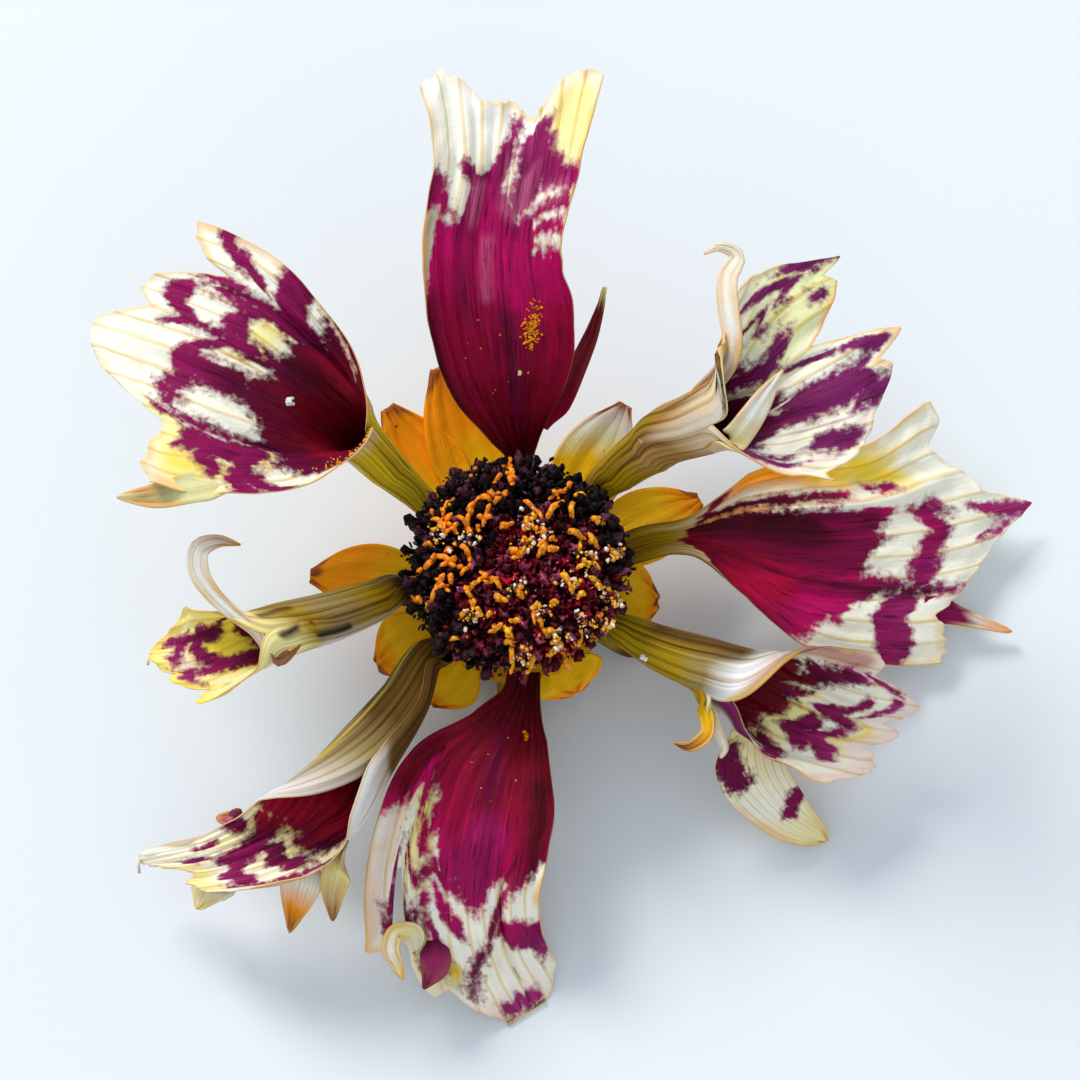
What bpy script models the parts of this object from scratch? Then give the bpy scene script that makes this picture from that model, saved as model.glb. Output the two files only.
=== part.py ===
"""Dried coreopsis flower head, face up, resting on its outer bracts and the tips of its low petals.

Lengths are in millimetres and become metres when a mesh is made. The head's axis is +Z through
x = y = 0, the table is z = 0, and the photographed side of the head faces -Y and up.
"""
import math
import random

import bpy
import numpy as np
from mathutils import Vector

MM = 0.001
PETAL_THICKNESS = 0.6
BRACT_THICKNESS = 0.6
PETAL_ROWS = 14
DISC_RADIUS = 5.0
DISC_TOP = 10.5
FLORET_COUNT = 84
STYLE_COUNT = 18
LATHE_SEGMENTS = 20
GOLDEN_ANGLE = math.pi * (3 - math.sqrt(5))
UP = (0.0, 0.0, 1.0)

COLOURS = {
    "maroon": (0.36, 0.02, 0.13),
    "spotted": (0.72, 0.55, 0.42),
    "olive": (0.42, 0.36, 0.10),
    "orange": (0.90, 0.42, 0.04),
    "green": (0.24, 0.22, 0.07),
    "dark": (0.07, 0.02, 0.03),
}

# A petal is a blade on a curved spine, with narrow strips growing from its margins.
# half_width and curl give the left and the right half at each spine point; curl is the angle in
# degrees that the half has turned up at its margin. A lobe reaches to a fraction of the spine
# at its place `at` across the blade (-1 right margin, +1 left margin) and drops away beside it.
# A strip starts from the blade at root = (fraction along, place across).
PETALS = {
    "north": {
        "spine": [(0.1, 3.8, 5.2), (0.1, 5.7, 6.2), (-0.2, 6.6, 7.6), (-0.5, 8.0, 9.4),
                  (-0.8, 10.1, 11.5), (-0.9, 12.6, 13.5), (-0.4, 15.9, 15.0), (0.0, 20.3, 15.6)],
        "half_width": [(0.8, 0.8), (0.8, 0.8), (1.4, 1.6), (2.6, 2.9), (3.3, 3.7), (3.5, 3.6),
                       (3.3, 3.6), (4.6, 3.9)],
        "curl": [(90, 90), (80, 80), (55, 55), (50, 50), (50, 50), (55, 60), (30, 45), (10, 20)],
        "lobes": [{"at": 0.72, "half": 0.5, "reach": 0.955, "drop": 0.09},
                  {"at": 0.1, "half": 0.5, "reach": 0.91, "drop": 0.06},
                  {"at": -0.8, "half": 0.5, "reach": 1.0, "drop": 0.12}],
        "strips": [{"root": (0.18, -0.95), "facing": (-0.8, -0.2, 0.6),
                    "spine": [(2.0, 7.4, 9.0), (2.8, 8.7, 10.2), (3.4, 10.0, 11.2), (3.8, 11.3, 12.2)],
                    "half_width": [0.5, 0.6, 0.55, 0.4, 0.12]}],
        "colour": "maroon",
    },
    "northwest": {
        "spine": [(-2.9, 2.5, 5.2), (-4.4, 3.7, 5.8), (-5.8, 4.3, 8.1), (-7.1, 4.7, 11.3),
                  (-8.9, 5.9, 13.2), (-11.7, 7.4, 13.6), (-14.8, 8.8, 13.2), (-18.1, 10.1, 12.4)],
        "half_width": [(0.9, 0.9), (1.4, 1.4), (2.1, 2.1), (3.3, 2.2), (5.3, 3.5), (6.6, 4.7),
                       (6.9, 5.2), (6.9, 5.2)],
        "curl": [(90, 90), (150, 150), (150, 150), (110, 110), (50, 50), (20, 20), (10, 10), (0, 0)],
        "lobes": [{"at": -0.97, "half": 0.3, "reach": 0.87, "drop": 0.1},
                  {"at": -0.35, "half": 0.28, "reach": 0.92, "drop": 0.13},
                  {"at": 0.08, "half": 0.28, "reach": 0.99, "drop": 0.1},
                  {"at": 0.66, "half": 0.35, "reach": 0.74, "drop": 0.05}],
        "strips": [{"root": (0.8, 0.9), "facing": UP,
                    "spine": [(-13.6, 1.8, 14.4), (-15.2, 1.6, 13.8), (-16.8, 1.7, 13.2)],
                    "half_width": [0.7, 0.7, 0.55, 0.2]}],
        "colour": "spotted",
    },
    "west": {
        "spine": [(-3.8, -0.6, 5.2), (-5.1, -0.6, 5.7), (-6.7, -1.7, 7.6), (-8.4, -2.8, 8.6),
                  (-10.1, -3.6, 9.0), (-11.8, -4.0, 8.8), (-13.5, -4.2, 8.0), (-15.8, -4.0, 6.8)],
        "half_width": [(0.9, 0.9), (1.4, 1.4), (2.2, 2.2), (2.7, 2.7), (3.5, 3.4), (3.0, 3.3),
                       (1.8, 2.4), (1.4, 1.8)],
        "curl": [(90, 90), (150, 150), (150, 150), (150, 150), (140, 150), (90, 100), (40, 40), (10, 10)],
        "lobes": [{"at": -0.25, "half": 0.6, "reach": 1.0, "drop": 0.12},
                  {"at": 0.4, "half": 0.3, "reach": 0.92, "drop": 0.12},
                  {"at": 0.9, "half": 0.3, "reach": 0.84, "drop": 0.12}],
        "strips": [{"root": (0.78, -0.9), "facing": (0.3, -0.5, 0.8),
                    "spine": [(-12.7, -1.5, 11.0), (-12.9, -0.8, 11.6), (-12.7, -0.3, 12.2),
                              (-12.0, -0.1, 12.6), (-11.4, -0.2, 12.6)],
                    "half_width": [0.6, 0.5, 0.5, 0.45, 0.4, 0.2]}],
        "colour": "olive",
    },
    "northeast": {
        "spine": [(2.5, 2.9, 5.2), (3.4, 4.4, 5.8), (5.1, 4.7, 7.7), (6.8, 4.7, 10.4),
                  (8.6, 4.9, 13.2), (10.7, 5.7, 14.2), (12.9, 7.0, 14.4), (16.3, 9.2, 13.8)],
        "half_width": [(0.9, 0.9), (1.4, 1.4), (2.4, 2.4), (3.2, 3.4), (3.8, 4.6), (4.4, 5.0),
                       (4.6, 4.8), (4.4, 4.6)],
        "curl": [(90, 90), (150, 150), (150, 150), (150, 150), (130, 130), (60, 70), (20, 30), (0, 10)],
        "lobes": [{"at": 0.5, "half": 0.4, "reach": 1.0, "drop": 0.17, "power": 1.4},
                  {"at": -0.05, "half": 0.2, "reach": 0.95, "drop": 0.15},
                  {"at": -0.5, "half": 0.5, "reach": 0.93, "drop": 0.12}],
        "strips": [{"root": (0.73, 0.88), "facing": (-0.6, -0.4, 0.7),
                    "spine": [(8.6, 8.2, 16.6), (8.9, 9.6, 17.0), (9.2, 10.6, 17.0)],
                    "half_width": [0.6, 0.6, 0.5, 0.3]},
                   {"root": (0.7, -0.85), "facing": (0.5, 0.5, 0.7),
                    "spine": [(9.6, 4.0, 16.6), (10.3, 5.2, 16.8), (10.9, 6.2, 16.6)],
                    "half_width": [0.7, 0.6, 0.5, 0.2]}],
        "colour": "spotted",
    },
    "east": {
        "spine": [(3.8, 0.9, 5.0), (5.2, 1.6, 5.4), (7.3, 2.0, 5.5), (9.8, 2.0, 5.0),
                  (12.4, 2.0, 3.9), (15.5, 2.3, 3.0), (18.7, 2.8, 2.2), (23.0, 4.3, 1.4)],
        "half_width": [(0.8, 0.8), (1.0, 1.0), (1.0, 1.0), (3.0, 2.7), (4.1, 4.4), (4.5, 5.2),
                       (6.0, 5.4), (5.4, 4.6)],
        "curl": [(60, 60), (80, 80), (60, 60), (30, 30), (20, 15), (10, 5), (0, 0), (0, 0)],
        "roll": [0, 0, 0, -4, -12, -16, -16, -14],
        "lobes": [{"at": 0.97, "half": 0.4, "reach": 0.84, "drop": 0.1},
                  {"at": 0.08, "half": 0.5, "reach": 1.0, "drop": 0.2, "power": 1.1},
                  {"at": -0.8, "half": 0.4, "reach": 0.75, "drop": 0.06}],
        "strips": [{"root": (0.93, -0.5), "facing": UP,
                    "spine": [(19.5, -0.4, 1.2), (21.9, -1.0, 0.7)], "half_width": [0.8, 0.45, 0.15]}],
        "colour": "maroon",
    },
    "southeast": {
        "spine": [(3.4, -1.7, 5.2), (4.7, -1.8, 5.2), (6.2, -3.0, 5.4), (7.9, -4.4, 5.2),
                  (9.5, -5.3, 4.7), (11.7, -5.9, 4.2), (14.3, -6.0, 3.5), (18.1, -5.6, 2.6)],
        "half_width": [(0.9, 0.9), (1.6, 1.6), (2.2, 2.2), (2.9, 2.9), (3.7, 3.2), (3.9, 3.2),
                       (3.6, 2.9), (2.6, 2.6)],
        "curl": [(90, 90), (140, 140), (150, 150), (140, 140), (110, 110), (60, 60), (25, 25), (10, 10)],
        "lobes": [{"at": 0.9, "half": 0.3, "reach": 0.86, "drop": 0.1},
                  {"at": 0.15, "half": 0.5, "reach": 1.0, "drop": 0.1},
                  {"at": -0.5, "half": 0.4, "reach": 0.9, "drop": 0.1}],
        "strips": [{"root": (0.58, -0.8), "facing": UP,
                    "spine": [(10.3, -8.0, 4.2), (11.4, -9.4, 2.3), (13.4, -11.0, 0.2)],
                    "half_width": [0.9, 1.5, 1.5, 0.6]},
                   {"root": (0.47, -0.9), "facing": UP,
                    "spine": [(7.8, -6.6, 6.2), (7.1, -7.0, 5.6)], "half_width": [0.6, 0.5, 0.2]},
                   {"root": (0.5, -0.9), "facing": UP,
                    "spine": [(8.9, -7.3, 6.0), (8.8, -8.1, 5.2)], "half_width": [0.5, 0.45, 0.3]}],
        "colour": "olive",
    },
    "south": {
        "spine": [(0.3, -3.9, 5.0), (0.2, -4.8, 5.0), (-0.4, -6.4, 5.0), (-1.3, -8.7, 5.0),
                  (-1.9, -11.3, 4.6), (-2.1, -13.7, 3.5), (-1.7, -16.1, 1.8), (-0.4, -18.4, 0.1)],
        "half_width": [(0.8, 0.8), (0.9, 0.9), (1.9, 1.7), (3.2, 3.6), (3.8, 4.3), (3.5, 4.5),
                       (3.5, 4.6), (3.2, 3.8)],
        "curl": [(60, 60), (50, 50), (30, 30), (20, 20), (20, 20), (15, 15), (10, 10), (0, 0)],
        "lobes": [{"at": 0.4, "half": 0.55, "reach": 1.0, "drop": 0.08},
                  {"at": -0.35, "half": 0.22, "reach": 0.84, "drop": 0.05},
                  {"at": -0.9, "half": 0.28, "reach": 0.78, "drop": 0.1}],
        "strips": [{"root": (0.76, -0.2), "facing": (0.0, -0.6, 0.8),
                    "spine": [(-3.8, -15.2, 5.0), (-4.8, -15.8, 5.6), (-5.2, -16.5, 5.0), (-5.0, -17.3, 4.2)],
                    "half_width": [0.9, 0.8, 0.6, 0.5, 0.25]},
                   {"root": (0.78, -0.17), "facing": UP,
                    "spine": [(-3.1, -16.2, 3.3), (-4.0, -17.5, 2.8)], "half_width": [0.8, 0.7, 0.2]}],
        "colour": "maroon",
    },
    "southwest": {
        "spine": [(-2.7, -2.7, 5.1), (-3.7, -3.0, 5.2), (-5.1, -5.4, 5.8), (-6.5, -7.8, 6.2),
                  (-7.6, -9.9, 6.0), (-9.3, -11.3, 5.2), (-12.1, -12.0, 4.2), (-16.3, -12.4, 3.2)],
        "half_width": [(0.9, 0.9), (1.6, 1.6), (2.8, 2.8), (3.6, 3.6), (3.4, 3.2), (2.4, 1.6),
                       (1.8, 1.2), (1.4, 1.0)],
        "curl": [(90, 90), (130, 130), (140, 140), (140, 140), (110, 110), (60, 60), (25, 25), (10, 10)],
        "lobes": [{"at": -0.6, "half": 0.5, "reach": 1.0, "drop": 0.06},
                  {"at": 0.4, "half": 0.4, "reach": 0.88, "drop": 0.06}],
        "strips": [{"root": (0.7, 0.5), "facing": (-0.3, -0.7, 0.6),
                    "spine": [(-9.3, -13.2, 4.4), (-9.8, -14.9, 2.8)], "half_width": [1.0, 0.9, 0.2]},
                   {"root": (0.68, 0.85), "facing": (-0.3, -0.7, 0.6),
                    "spine": [(-7.8, -13.4, 5.4), (-7.9, -14.6, 3.8)], "half_width": [0.8, 0.6, 0.2]},
                   {"root": (0.87, 0.3), "facing": UP,
                    "spine": [(-13.2, -13.0, 3.6), (-13.8, -13.9, 3.0)], "half_width": [1.0, 0.9, 0.4]}],
        "colour": "olive",
    },
}

# Inner bracts: bearing in degrees, reach from the axis, rise of the tip above the root.
INNER_BRACTS = [(27, 9.0, 0.2), (59, 9.2, 2.0), (110, 10.0, 2.6), (126, 9.6, 2.0),
                (177, 9.0, 0.8), (222, 7.4, -0.7), (300, 7.2, -0.7), (352, 7.6, -0.3)]
INNER_ROOT = (3.8, 4.0)
INNER_HALF_WIDTH = [0.9, 1.5, 1.7, 1.3, 0.3]
# Outer bracts: bearings of the narrow ones that bend down to the table.
OUTER_BRACTS = [20, 56, 92, 128, 176, 216, 268, 344]
OUTER_PROFILE = [(2.3, 2.3), (3.3, 2.2), (4.2, 1.4), (4.8, 0.55), (5.3, 0.2), (5.9, 0.2)]
OUTER_HALF_WIDTH = [0.6, 0.7, 0.7, 0.65, 0.55, 0.35]

RECEPTACLE_PROFILE = [(0.0, 0.7), (0.85, 0.7), (1.0, 0.9), (1.05, 1.9), (1.7, 2.5), (2.5, 3.1),
                      (3.1, 3.7), (3.2, 4.3), (3.1, 4.9), (2.9, 5.0), (0.0, 5.0)]
OUTER_COLLAR_PROFILE = [(1.5, 1.3), (2.1, 1.6), (2.9, 2.2), (3.0, 2.7), (2.65, 2.72), (2.0, 2.2), (1.45, 1.8)]
INNER_CUP_PROFILE = [(3.5, 3.6), (4.0, 3.7), (4.2, 4.0), (4.0, 4.25), (3.5, 4.3)]
DISC_PROFILE = [(0.0, 5.3), (2.7, 5.3), (3.0, 5.5), (3.1, 6.4), (3.9, 7.3), (4.4, 7.8), (4.4, 8.2),
                (4.0, 8.8), (3.2, 9.4), (2.0, 9.8), (1.0, 9.97), (0.0, 10.0)]


def smooth_curve(stations, values, place):
    """Read a smooth curve through `values` at rising `stations`, at any array of places."""
    stations = np.asarray(stations, float)
    values = np.asarray(values, float)
    if values.ndim == 1:
        values = values[:, None]
    slopes = np.gradient(values, stations, axis=0)
    i = np.clip(np.searchsorted(stations, place, side="right") - 1, 0, len(stations) - 2)
    step = (stations[i + 1] - stations[i])[..., None]
    t = ((place - stations[i]) / step[..., 0])[..., None]
    start, end = (1 + 2 * t) * (1 - t) ** 2, t * t * (3 - 2 * t)
    leave, arrive = t * (1 - t) ** 2, t * t * (t - 1)
    return start * values[i] + end * values[i + 1] + step * (leave * slopes[i] + arrive * slopes[i + 1])


def unit(vectors):
    return vectors / np.maximum(np.linalg.norm(vectors, axis=-1, keepdims=True), 1e-9)


def lobe_outline(lobes, across):
    """Fraction of the spine that the blade reaches at each place across it."""
    reach = [lobe["reach"] - lobe["drop"] * (np.abs(across - lobe["at"]) / lobe["half"]) ** lobe.get("power", 2.0)
             for lobe in lobes]
    return np.clip(np.max(reach, axis=0), 0.45, 1.1)


def pairs(values):
    return [v if isinstance(v, tuple) else (v, v) for v in values]


def blade_points(blade, rows, across):
    """Grid of points: arcs across a smooth spine, each half turned up by its curl."""
    spine = np.array(blade["spine"], float)
    lengths = np.linalg.norm(np.diff(spine, axis=0), axis=1)
    stations = np.concatenate([[0.0], np.cumsum(lengths)]) / lengths.sum()
    reach = lobe_outline(blade["lobes"], across) if "lobes" in blade else np.ones_like(across)
    place = rows[:, None] * reach[None, :]
    centre = smooth_curve(stations, spine, place)
    ahead = smooth_curve(stations, spine, np.clip(place + 1e-3, 0, 1))
    behind = smooth_curve(stations, spine, np.clip(place - 1e-3, 0, 1))
    tangent = unit(ahead - behind)
    facing = np.array(blade.get("facing", UP), float)
    up = unit(facing - (tangent @ facing)[..., None] * tangent)
    roll = np.radians(smooth_curve(stations, blade.get("roll", [0.0] * len(spine)), place))
    face = np.cos(roll) * up + np.sin(roll) * np.cross(up, tangent)
    side = np.cross(face, tangent)
    left = (across >= 0)[None, :]
    widths = smooth_curve(stations, pairs(blade["half_width"]), place)
    curls = np.radians(smooth_curve(stations, pairs(blade.get("curl", [0.0] * len(spine))), place))
    width = np.maximum(np.where(left, widths[..., 0], widths[..., 1]), 0.05) * np.abs(across)
    turn = np.maximum(np.where(left, curls[..., 0], curls[..., 1]) * np.abs(across), 1e-6)
    out = width * np.sin(turn) / turn * np.where(left, 1, -1)
    lift = width * (1 - np.cos(turn)) / turn
    return centre + side * out[..., None] + face * lift[..., None]


def columns_of(blade, between):
    """Places across a blade that hit every lobe tip and every notch."""
    fine = np.linspace(-1, 1, 401)
    reach = np.array([lobe["reach"] - lobe["drop"] * (np.abs(fine - lobe["at"]) / lobe["half"])
                      ** lobe.get("power", 2.0) for lobe in blade["lobes"]])
    best = reach.argmax(axis=0)
    notches = [fine[i] for i in range(1, len(fine)) if best[i] != best[i - 1]]
    tips = [lobe["at"] for lobe in blade["lobes"] if abs(lobe["at"]) < 0.93]
    marks = [-1.0]
    for mark in sorted(notches + tips + [0.0]):
        if mark - marks[-1] > 0.08 and mark < 0.93:
            marks.append(mark)
    marks.append(1.0)
    columns = [np.linspace(a, b, between + 1)[:-1] for a, b in zip(marks, marks[1:])]
    return np.append(np.concatenate(columns), 1.0)


def sheet_mesh(points, thickness):
    """Vertices and triangles of a closed sheet with the grid as its middle surface."""
    rows, columns = points.shape[:2]
    normal = unit(np.cross(np.gradient(points, axis=0), np.gradient(points, axis=1)))
    both = np.concatenate([(points - normal * thickness / 2).reshape(-1, 3),
                           (points + normal * thickness / 2).reshape(-1, 3)])
    both[:, 2] = np.maximum(both[:, 2], 0.0)
    index = np.arange(rows * columns).reshape(rows, columns)
    a, b = index[:-1, :-1].ravel(), index[:-1, 1:].ravel()
    c, d = index[1:, 1:].ravel(), index[1:, :-1].ravel()
    lower = np.concatenate([np.stack([a, b, c], 1), np.stack([a, c, d], 1)])
    upper = lower[:, ::-1] + rows * columns
    ring = np.concatenate([index[0, :], index[1:, -1], index[-1, -2::-1], index[-2:0:-1, 0]])
    after = np.roll(ring, -1)
    top, top_after = ring + rows * columns, after + rows * columns
    rim = np.concatenate([np.stack([ring, top_after, after], 1), np.stack([ring, top, top_after], 1)])
    return both, np.concatenate([lower, upper, rim])


def new_object(name, vertices, faces):
    mesh = bpy.data.meshes.new(name)
    mesh.from_pydata([Vector(v) * MM for v in vertices], [], [list(map(int, f)) for f in faces])
    mesh.validate()
    mesh.update()
    obj = bpy.data.objects.new(name, mesh)
    bpy.context.scene.collection.objects.link(obj)
    return obj


def face_outwards(obj):
    """Turn a closed mesh's faces so that its volume counts as positive."""
    mesh = obj.data
    volume = 0.0
    for polygon in mesh.polygons:
        corners = [mesh.vertices[i].co for i in polygon.vertices]
        for second, third in zip(corners[1:], corners[2:]):
            volume += corners[0].dot(second.cross(third))
    if volume < 0:
        mesh.flip_normals()


def sheet(name, points, thickness):
    obj = new_object(name, *sheet_mesh(points, thickness))
    face_outwards(obj)
    return obj


def lathe(name, profile, segments=LATHE_SEGMENTS, closed=False):
    """Solid of revolution; an open profile starts and ends on the axis."""
    rings = list(profile) if closed else profile[1:-1]
    vertices = [(r * math.cos(2 * math.pi * k / segments), r * math.sin(2 * math.pi * k / segments), z)
                for r, z in rings for k in range(segments)]
    faces = []
    spans = len(rings) if closed else len(rings) - 1
    for i in range(spans):
        low, high = i * segments, (i + 1) % len(rings) * segments
        for k in range(segments):
            nxt = (k + 1) % segments
            faces.append((low + k, low + nxt, high + nxt, high + k))
    if not closed:
        for end, (r, z) in ((0, profile[0]), (len(rings) - 1, profile[-1])):
            vertices.append((0.0, 0.0, z))
            for k in range(segments):
                faces.append((end * segments + k, end * segments + (k + 1) % segments, len(vertices) - 1)
                             if end else (end * segments + (k + 1) % segments, k, len(vertices) - 1))
    obj = new_object(name, vertices, faces)
    face_outwards(obj)
    return obj


def tube(name, path, radii, sides):
    """Closed tube along a path, with flat ends."""
    path = np.asarray(path, float)
    tangent = unit(np.gradient(path, axis=0))
    across = unit(np.cross(tangent, (0.37, -0.61, 0.7)))
    other = np.cross(tangent, across)
    angle = np.linspace(0, 2 * math.pi, sides, endpoint=False)
    ring = np.cos(angle)[None, :, None] * across[:, None] + np.sin(angle)[None, :, None] * other[:, None]
    vertices = (path[:, None] + ring * np.asarray(radii)[:, None, None]).reshape(-1, 3)
    faces = [(i * sides + k, i * sides + (k + 1) % sides, (i + 1) * sides + (k + 1) % sides, (i + 1) * sides + k)
             for i in range(len(path) - 1) for k in range(sides)]
    faces += [tuple(range(sides))[::-1], tuple(range((len(path) - 1) * sides, len(path) * sides))]
    obj = new_object(name, vertices, faces)
    face_outwards(obj)
    return obj


def fuse(base, pieces, solver):
    """Join overlapping closed pieces into one solid on the base object."""
    group = bpy.data.collections.new(base.name + "_pieces")
    for piece in pieces:
        group.objects.link(piece)
    modifier = base.modifiers.new("union", "BOOLEAN")
    modifier.operation = "UNION"
    modifier.operand_type = "COLLECTION"
    modifier.collection = group
    modifier.solver = solver
    bpy.context.view_layer.update()
    whole = bpy.data.meshes.new_from_object(base.evaluated_get(bpy.context.evaluated_depsgraph_get()))
    base.modifiers.clear()
    base.data = whole
    for piece in pieces:
        bpy.data.objects.remove(piece)
    bpy.data.collections.remove(group)
    return base


def paint(obj, name):
    material = bpy.data.materials.new(obj.name)
    material.use_nodes = True
    shader = material.node_tree.nodes["Principled BSDF"]
    shader.inputs["Base Color"].default_value = (*COLOURS[name], 1.0)
    shader.inputs["Roughness"].default_value = 0.7
    obj.data.materials.clear()
    obj.data.materials.append(material)


def build_petal(name, petal):
    rows = np.linspace(0, 1, PETAL_ROWS)
    blade = sheet("petal_" + name, blade_points(petal, rows, columns_of(petal, 2)), PETAL_THICKNESS)
    strips = []
    for number, strip in enumerate(petal["strips"]):
        along, across = strip["root"]
        root = blade_points(petal, np.array([along]), np.array([across]))[0, 0]
        grown = dict(strip, spine=[tuple(root)] + strip["spine"])
        points = blade_points(grown, np.linspace(0, 1, 3 * len(strip["spine"]) + 1), np.linspace(-1, 1, 3))
        strips.append(sheet(f"strip_{number}", points, PETAL_THICKNESS))
    fuse(blade, strips, "MANIFOLD")
    paint(blade, petal["colour"])
    return blade


def turned(points, bearing):
    """Turn points about the head's axis."""
    c, s = math.cos(bearing), math.sin(bearing)
    return points @ np.array([[c, s, 0], [-s, c, 0], [0, 0, 1]])


def build_inner_bracts():
    cup = lathe("inner_bracts", INNER_CUP_PROFILE, closed=True)
    pieces = []
    for bearing, reach, rise in INNER_BRACTS:
        t = np.linspace(0, 1, 5)
        spine = [(INNER_ROOT[0] + (reach - INNER_ROOT[0]) * f, 0.0, INNER_ROOT[1] + rise * f ** 1.6) for f in t]
        blade = {"spine": spine, "half_width": INNER_HALF_WIDTH, "curl": [20, 25, 25, 20, 10]}
        points = blade_points(blade, np.linspace(0, 1, 7), np.linspace(-1, 1, 5))
        pieces.append(sheet("bract", turned(points, math.radians(bearing)), BRACT_THICKNESS))
    fuse(cup, pieces, "MANIFOLD")
    paint(cup, "orange")
    return cup


def build_outer_bracts():
    collar = lathe("outer_bracts", OUTER_COLLAR_PROFILE, closed=True)
    pieces = []
    for bearing in OUTER_BRACTS:
        blade = {"spine": [(r, 0.0, z) for r, z in OUTER_PROFILE], "half_width": OUTER_HALF_WIDTH}
        points = blade_points(blade, np.linspace(0, 1, 9), np.linspace(-1, 1, 3))
        pieces.append(sheet("bract", turned(points, math.radians(bearing)), BRACT_THICKNESS))
    fuse(collar, pieces, "MANIFOLD")
    paint(collar, "green")
    return collar


def dome_point(radius, bearing):
    """Point on the disc's dome at a distance from the axis, and the way a floret leans there."""
    profile = [p for p in DISC_PROFILE if p[1] >= 7.8]
    rs = [r for r, z in reversed(profile)]
    zs = [z for r, z in reversed(profile)]
    height = float(np.interp(radius, rs[:-1], zs[:-1]))
    lean = math.radians(74) * (radius / 4.4) ** 1.7
    outward = Vector((math.cos(bearing), math.sin(bearing), 0.0))
    return outward * radius + Vector((0, 0, height)), outward * math.sin(lean) + Vector((0, 0, math.cos(lean)))


def build_disc():
    """Dome with a spiral of small florets and a scatter of curled styles between them."""
    draw = random.Random(16)
    disc = lathe("disc_florets", DISC_PROFILE)
    pieces = []
    for i in range(FLORET_COUNT):
        radius = 4.35 * math.sqrt((i + 0.5) / FLORET_COUNT)
        foot, lean = dome_point(radius, i * GOLDEN_ANGLE)
        length = 0.62 + 0.12 * draw.random()
        path = [foot - lean * 0.5, foot + lean * 0.1, foot + lean * length * 0.7, foot + lean * length]
        pieces.append(tube("floret", path, [0.26, 0.3, 0.38, 0.2], 5))
    for i in range(STYLE_COUNT):
        radius = 4.2 * math.sqrt((i + 0.5) / STYLE_COUNT)
        foot, lean = dome_point(radius, i * GOLDEN_ANGLE + 0.6)
        aside = Vector((draw.uniform(-1, 1), draw.uniform(-1, 1), 0.2)).normalized()
        path = [foot - lean * 0.4, foot + lean * 0.5, foot + lean * 0.95 + aside * 0.15,
                foot + lean * 1.0 + aside * 0.55]
        pieces.append(tube("style", path, [0.2, 0.2, 0.2, 0.18], 4))
    fuse(disc, pieces, "MANIFOLD")
    paint(disc, "dark")
    return disc


def build():
    for obj in list(bpy.data.objects):
        bpy.data.objects.remove(obj)
    receptacle = lathe("receptacle", RECEPTACLE_PROFILE)
    paint(receptacle, "green")
    parts = [receptacle, build_outer_bracts(), build_inner_bracts(), build_disc()]
    parts += [build_petal(name, petal) for name, petal in PETALS.items()]
    corners = np.array([vertex.co for part in parts for vertex in part.data.vertices])
    middle = (corners.min(axis=0) + corners.max(axis=0)) / 2
    root = bpy.data.objects.new("flower_root", None)
    bpy.context.scene.collection.objects.link(root)
    root.location = (-middle[0], -middle[1], -corners[:, 2].min())
    for part in parts:
        part.parent = root


build()
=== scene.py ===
import math

import bpy
import numpy as np
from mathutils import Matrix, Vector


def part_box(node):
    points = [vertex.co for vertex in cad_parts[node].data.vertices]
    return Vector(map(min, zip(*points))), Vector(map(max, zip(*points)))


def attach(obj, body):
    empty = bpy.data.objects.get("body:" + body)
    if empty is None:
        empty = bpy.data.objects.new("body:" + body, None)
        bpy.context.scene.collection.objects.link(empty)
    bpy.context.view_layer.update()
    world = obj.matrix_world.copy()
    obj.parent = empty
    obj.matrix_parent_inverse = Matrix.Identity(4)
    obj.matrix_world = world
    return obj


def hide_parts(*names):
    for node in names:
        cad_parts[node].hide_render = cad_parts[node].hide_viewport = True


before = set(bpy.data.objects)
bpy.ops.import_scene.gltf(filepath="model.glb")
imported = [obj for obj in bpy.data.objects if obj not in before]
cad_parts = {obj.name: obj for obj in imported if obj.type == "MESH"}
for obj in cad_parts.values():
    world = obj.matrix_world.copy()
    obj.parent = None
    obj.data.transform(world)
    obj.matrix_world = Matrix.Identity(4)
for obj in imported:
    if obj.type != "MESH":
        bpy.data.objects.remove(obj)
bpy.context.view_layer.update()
mm = 0.001
upward = (0.0, 0.0, 1.0)
goldenTurn = math.pi * (3 - math.sqrt(5))
tableGap = 0.01  # no blade or bract comes closer to the table than this
unmarked = -9.0  # depth inside a pattern where there is no pattern at all

# Every length below is in millimetres, from the head's own axis and the table top.
lowRoot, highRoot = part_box("receptacle")
headAxis = np.array([(lowRoot.x + highRoot.x) / 2, (lowRoot.y + highRoot.y) / 2, 0.0])
print("frame loaded, head axis at", [round(float(c) * 1000, 2) for c in headAxis], "mm")

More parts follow.
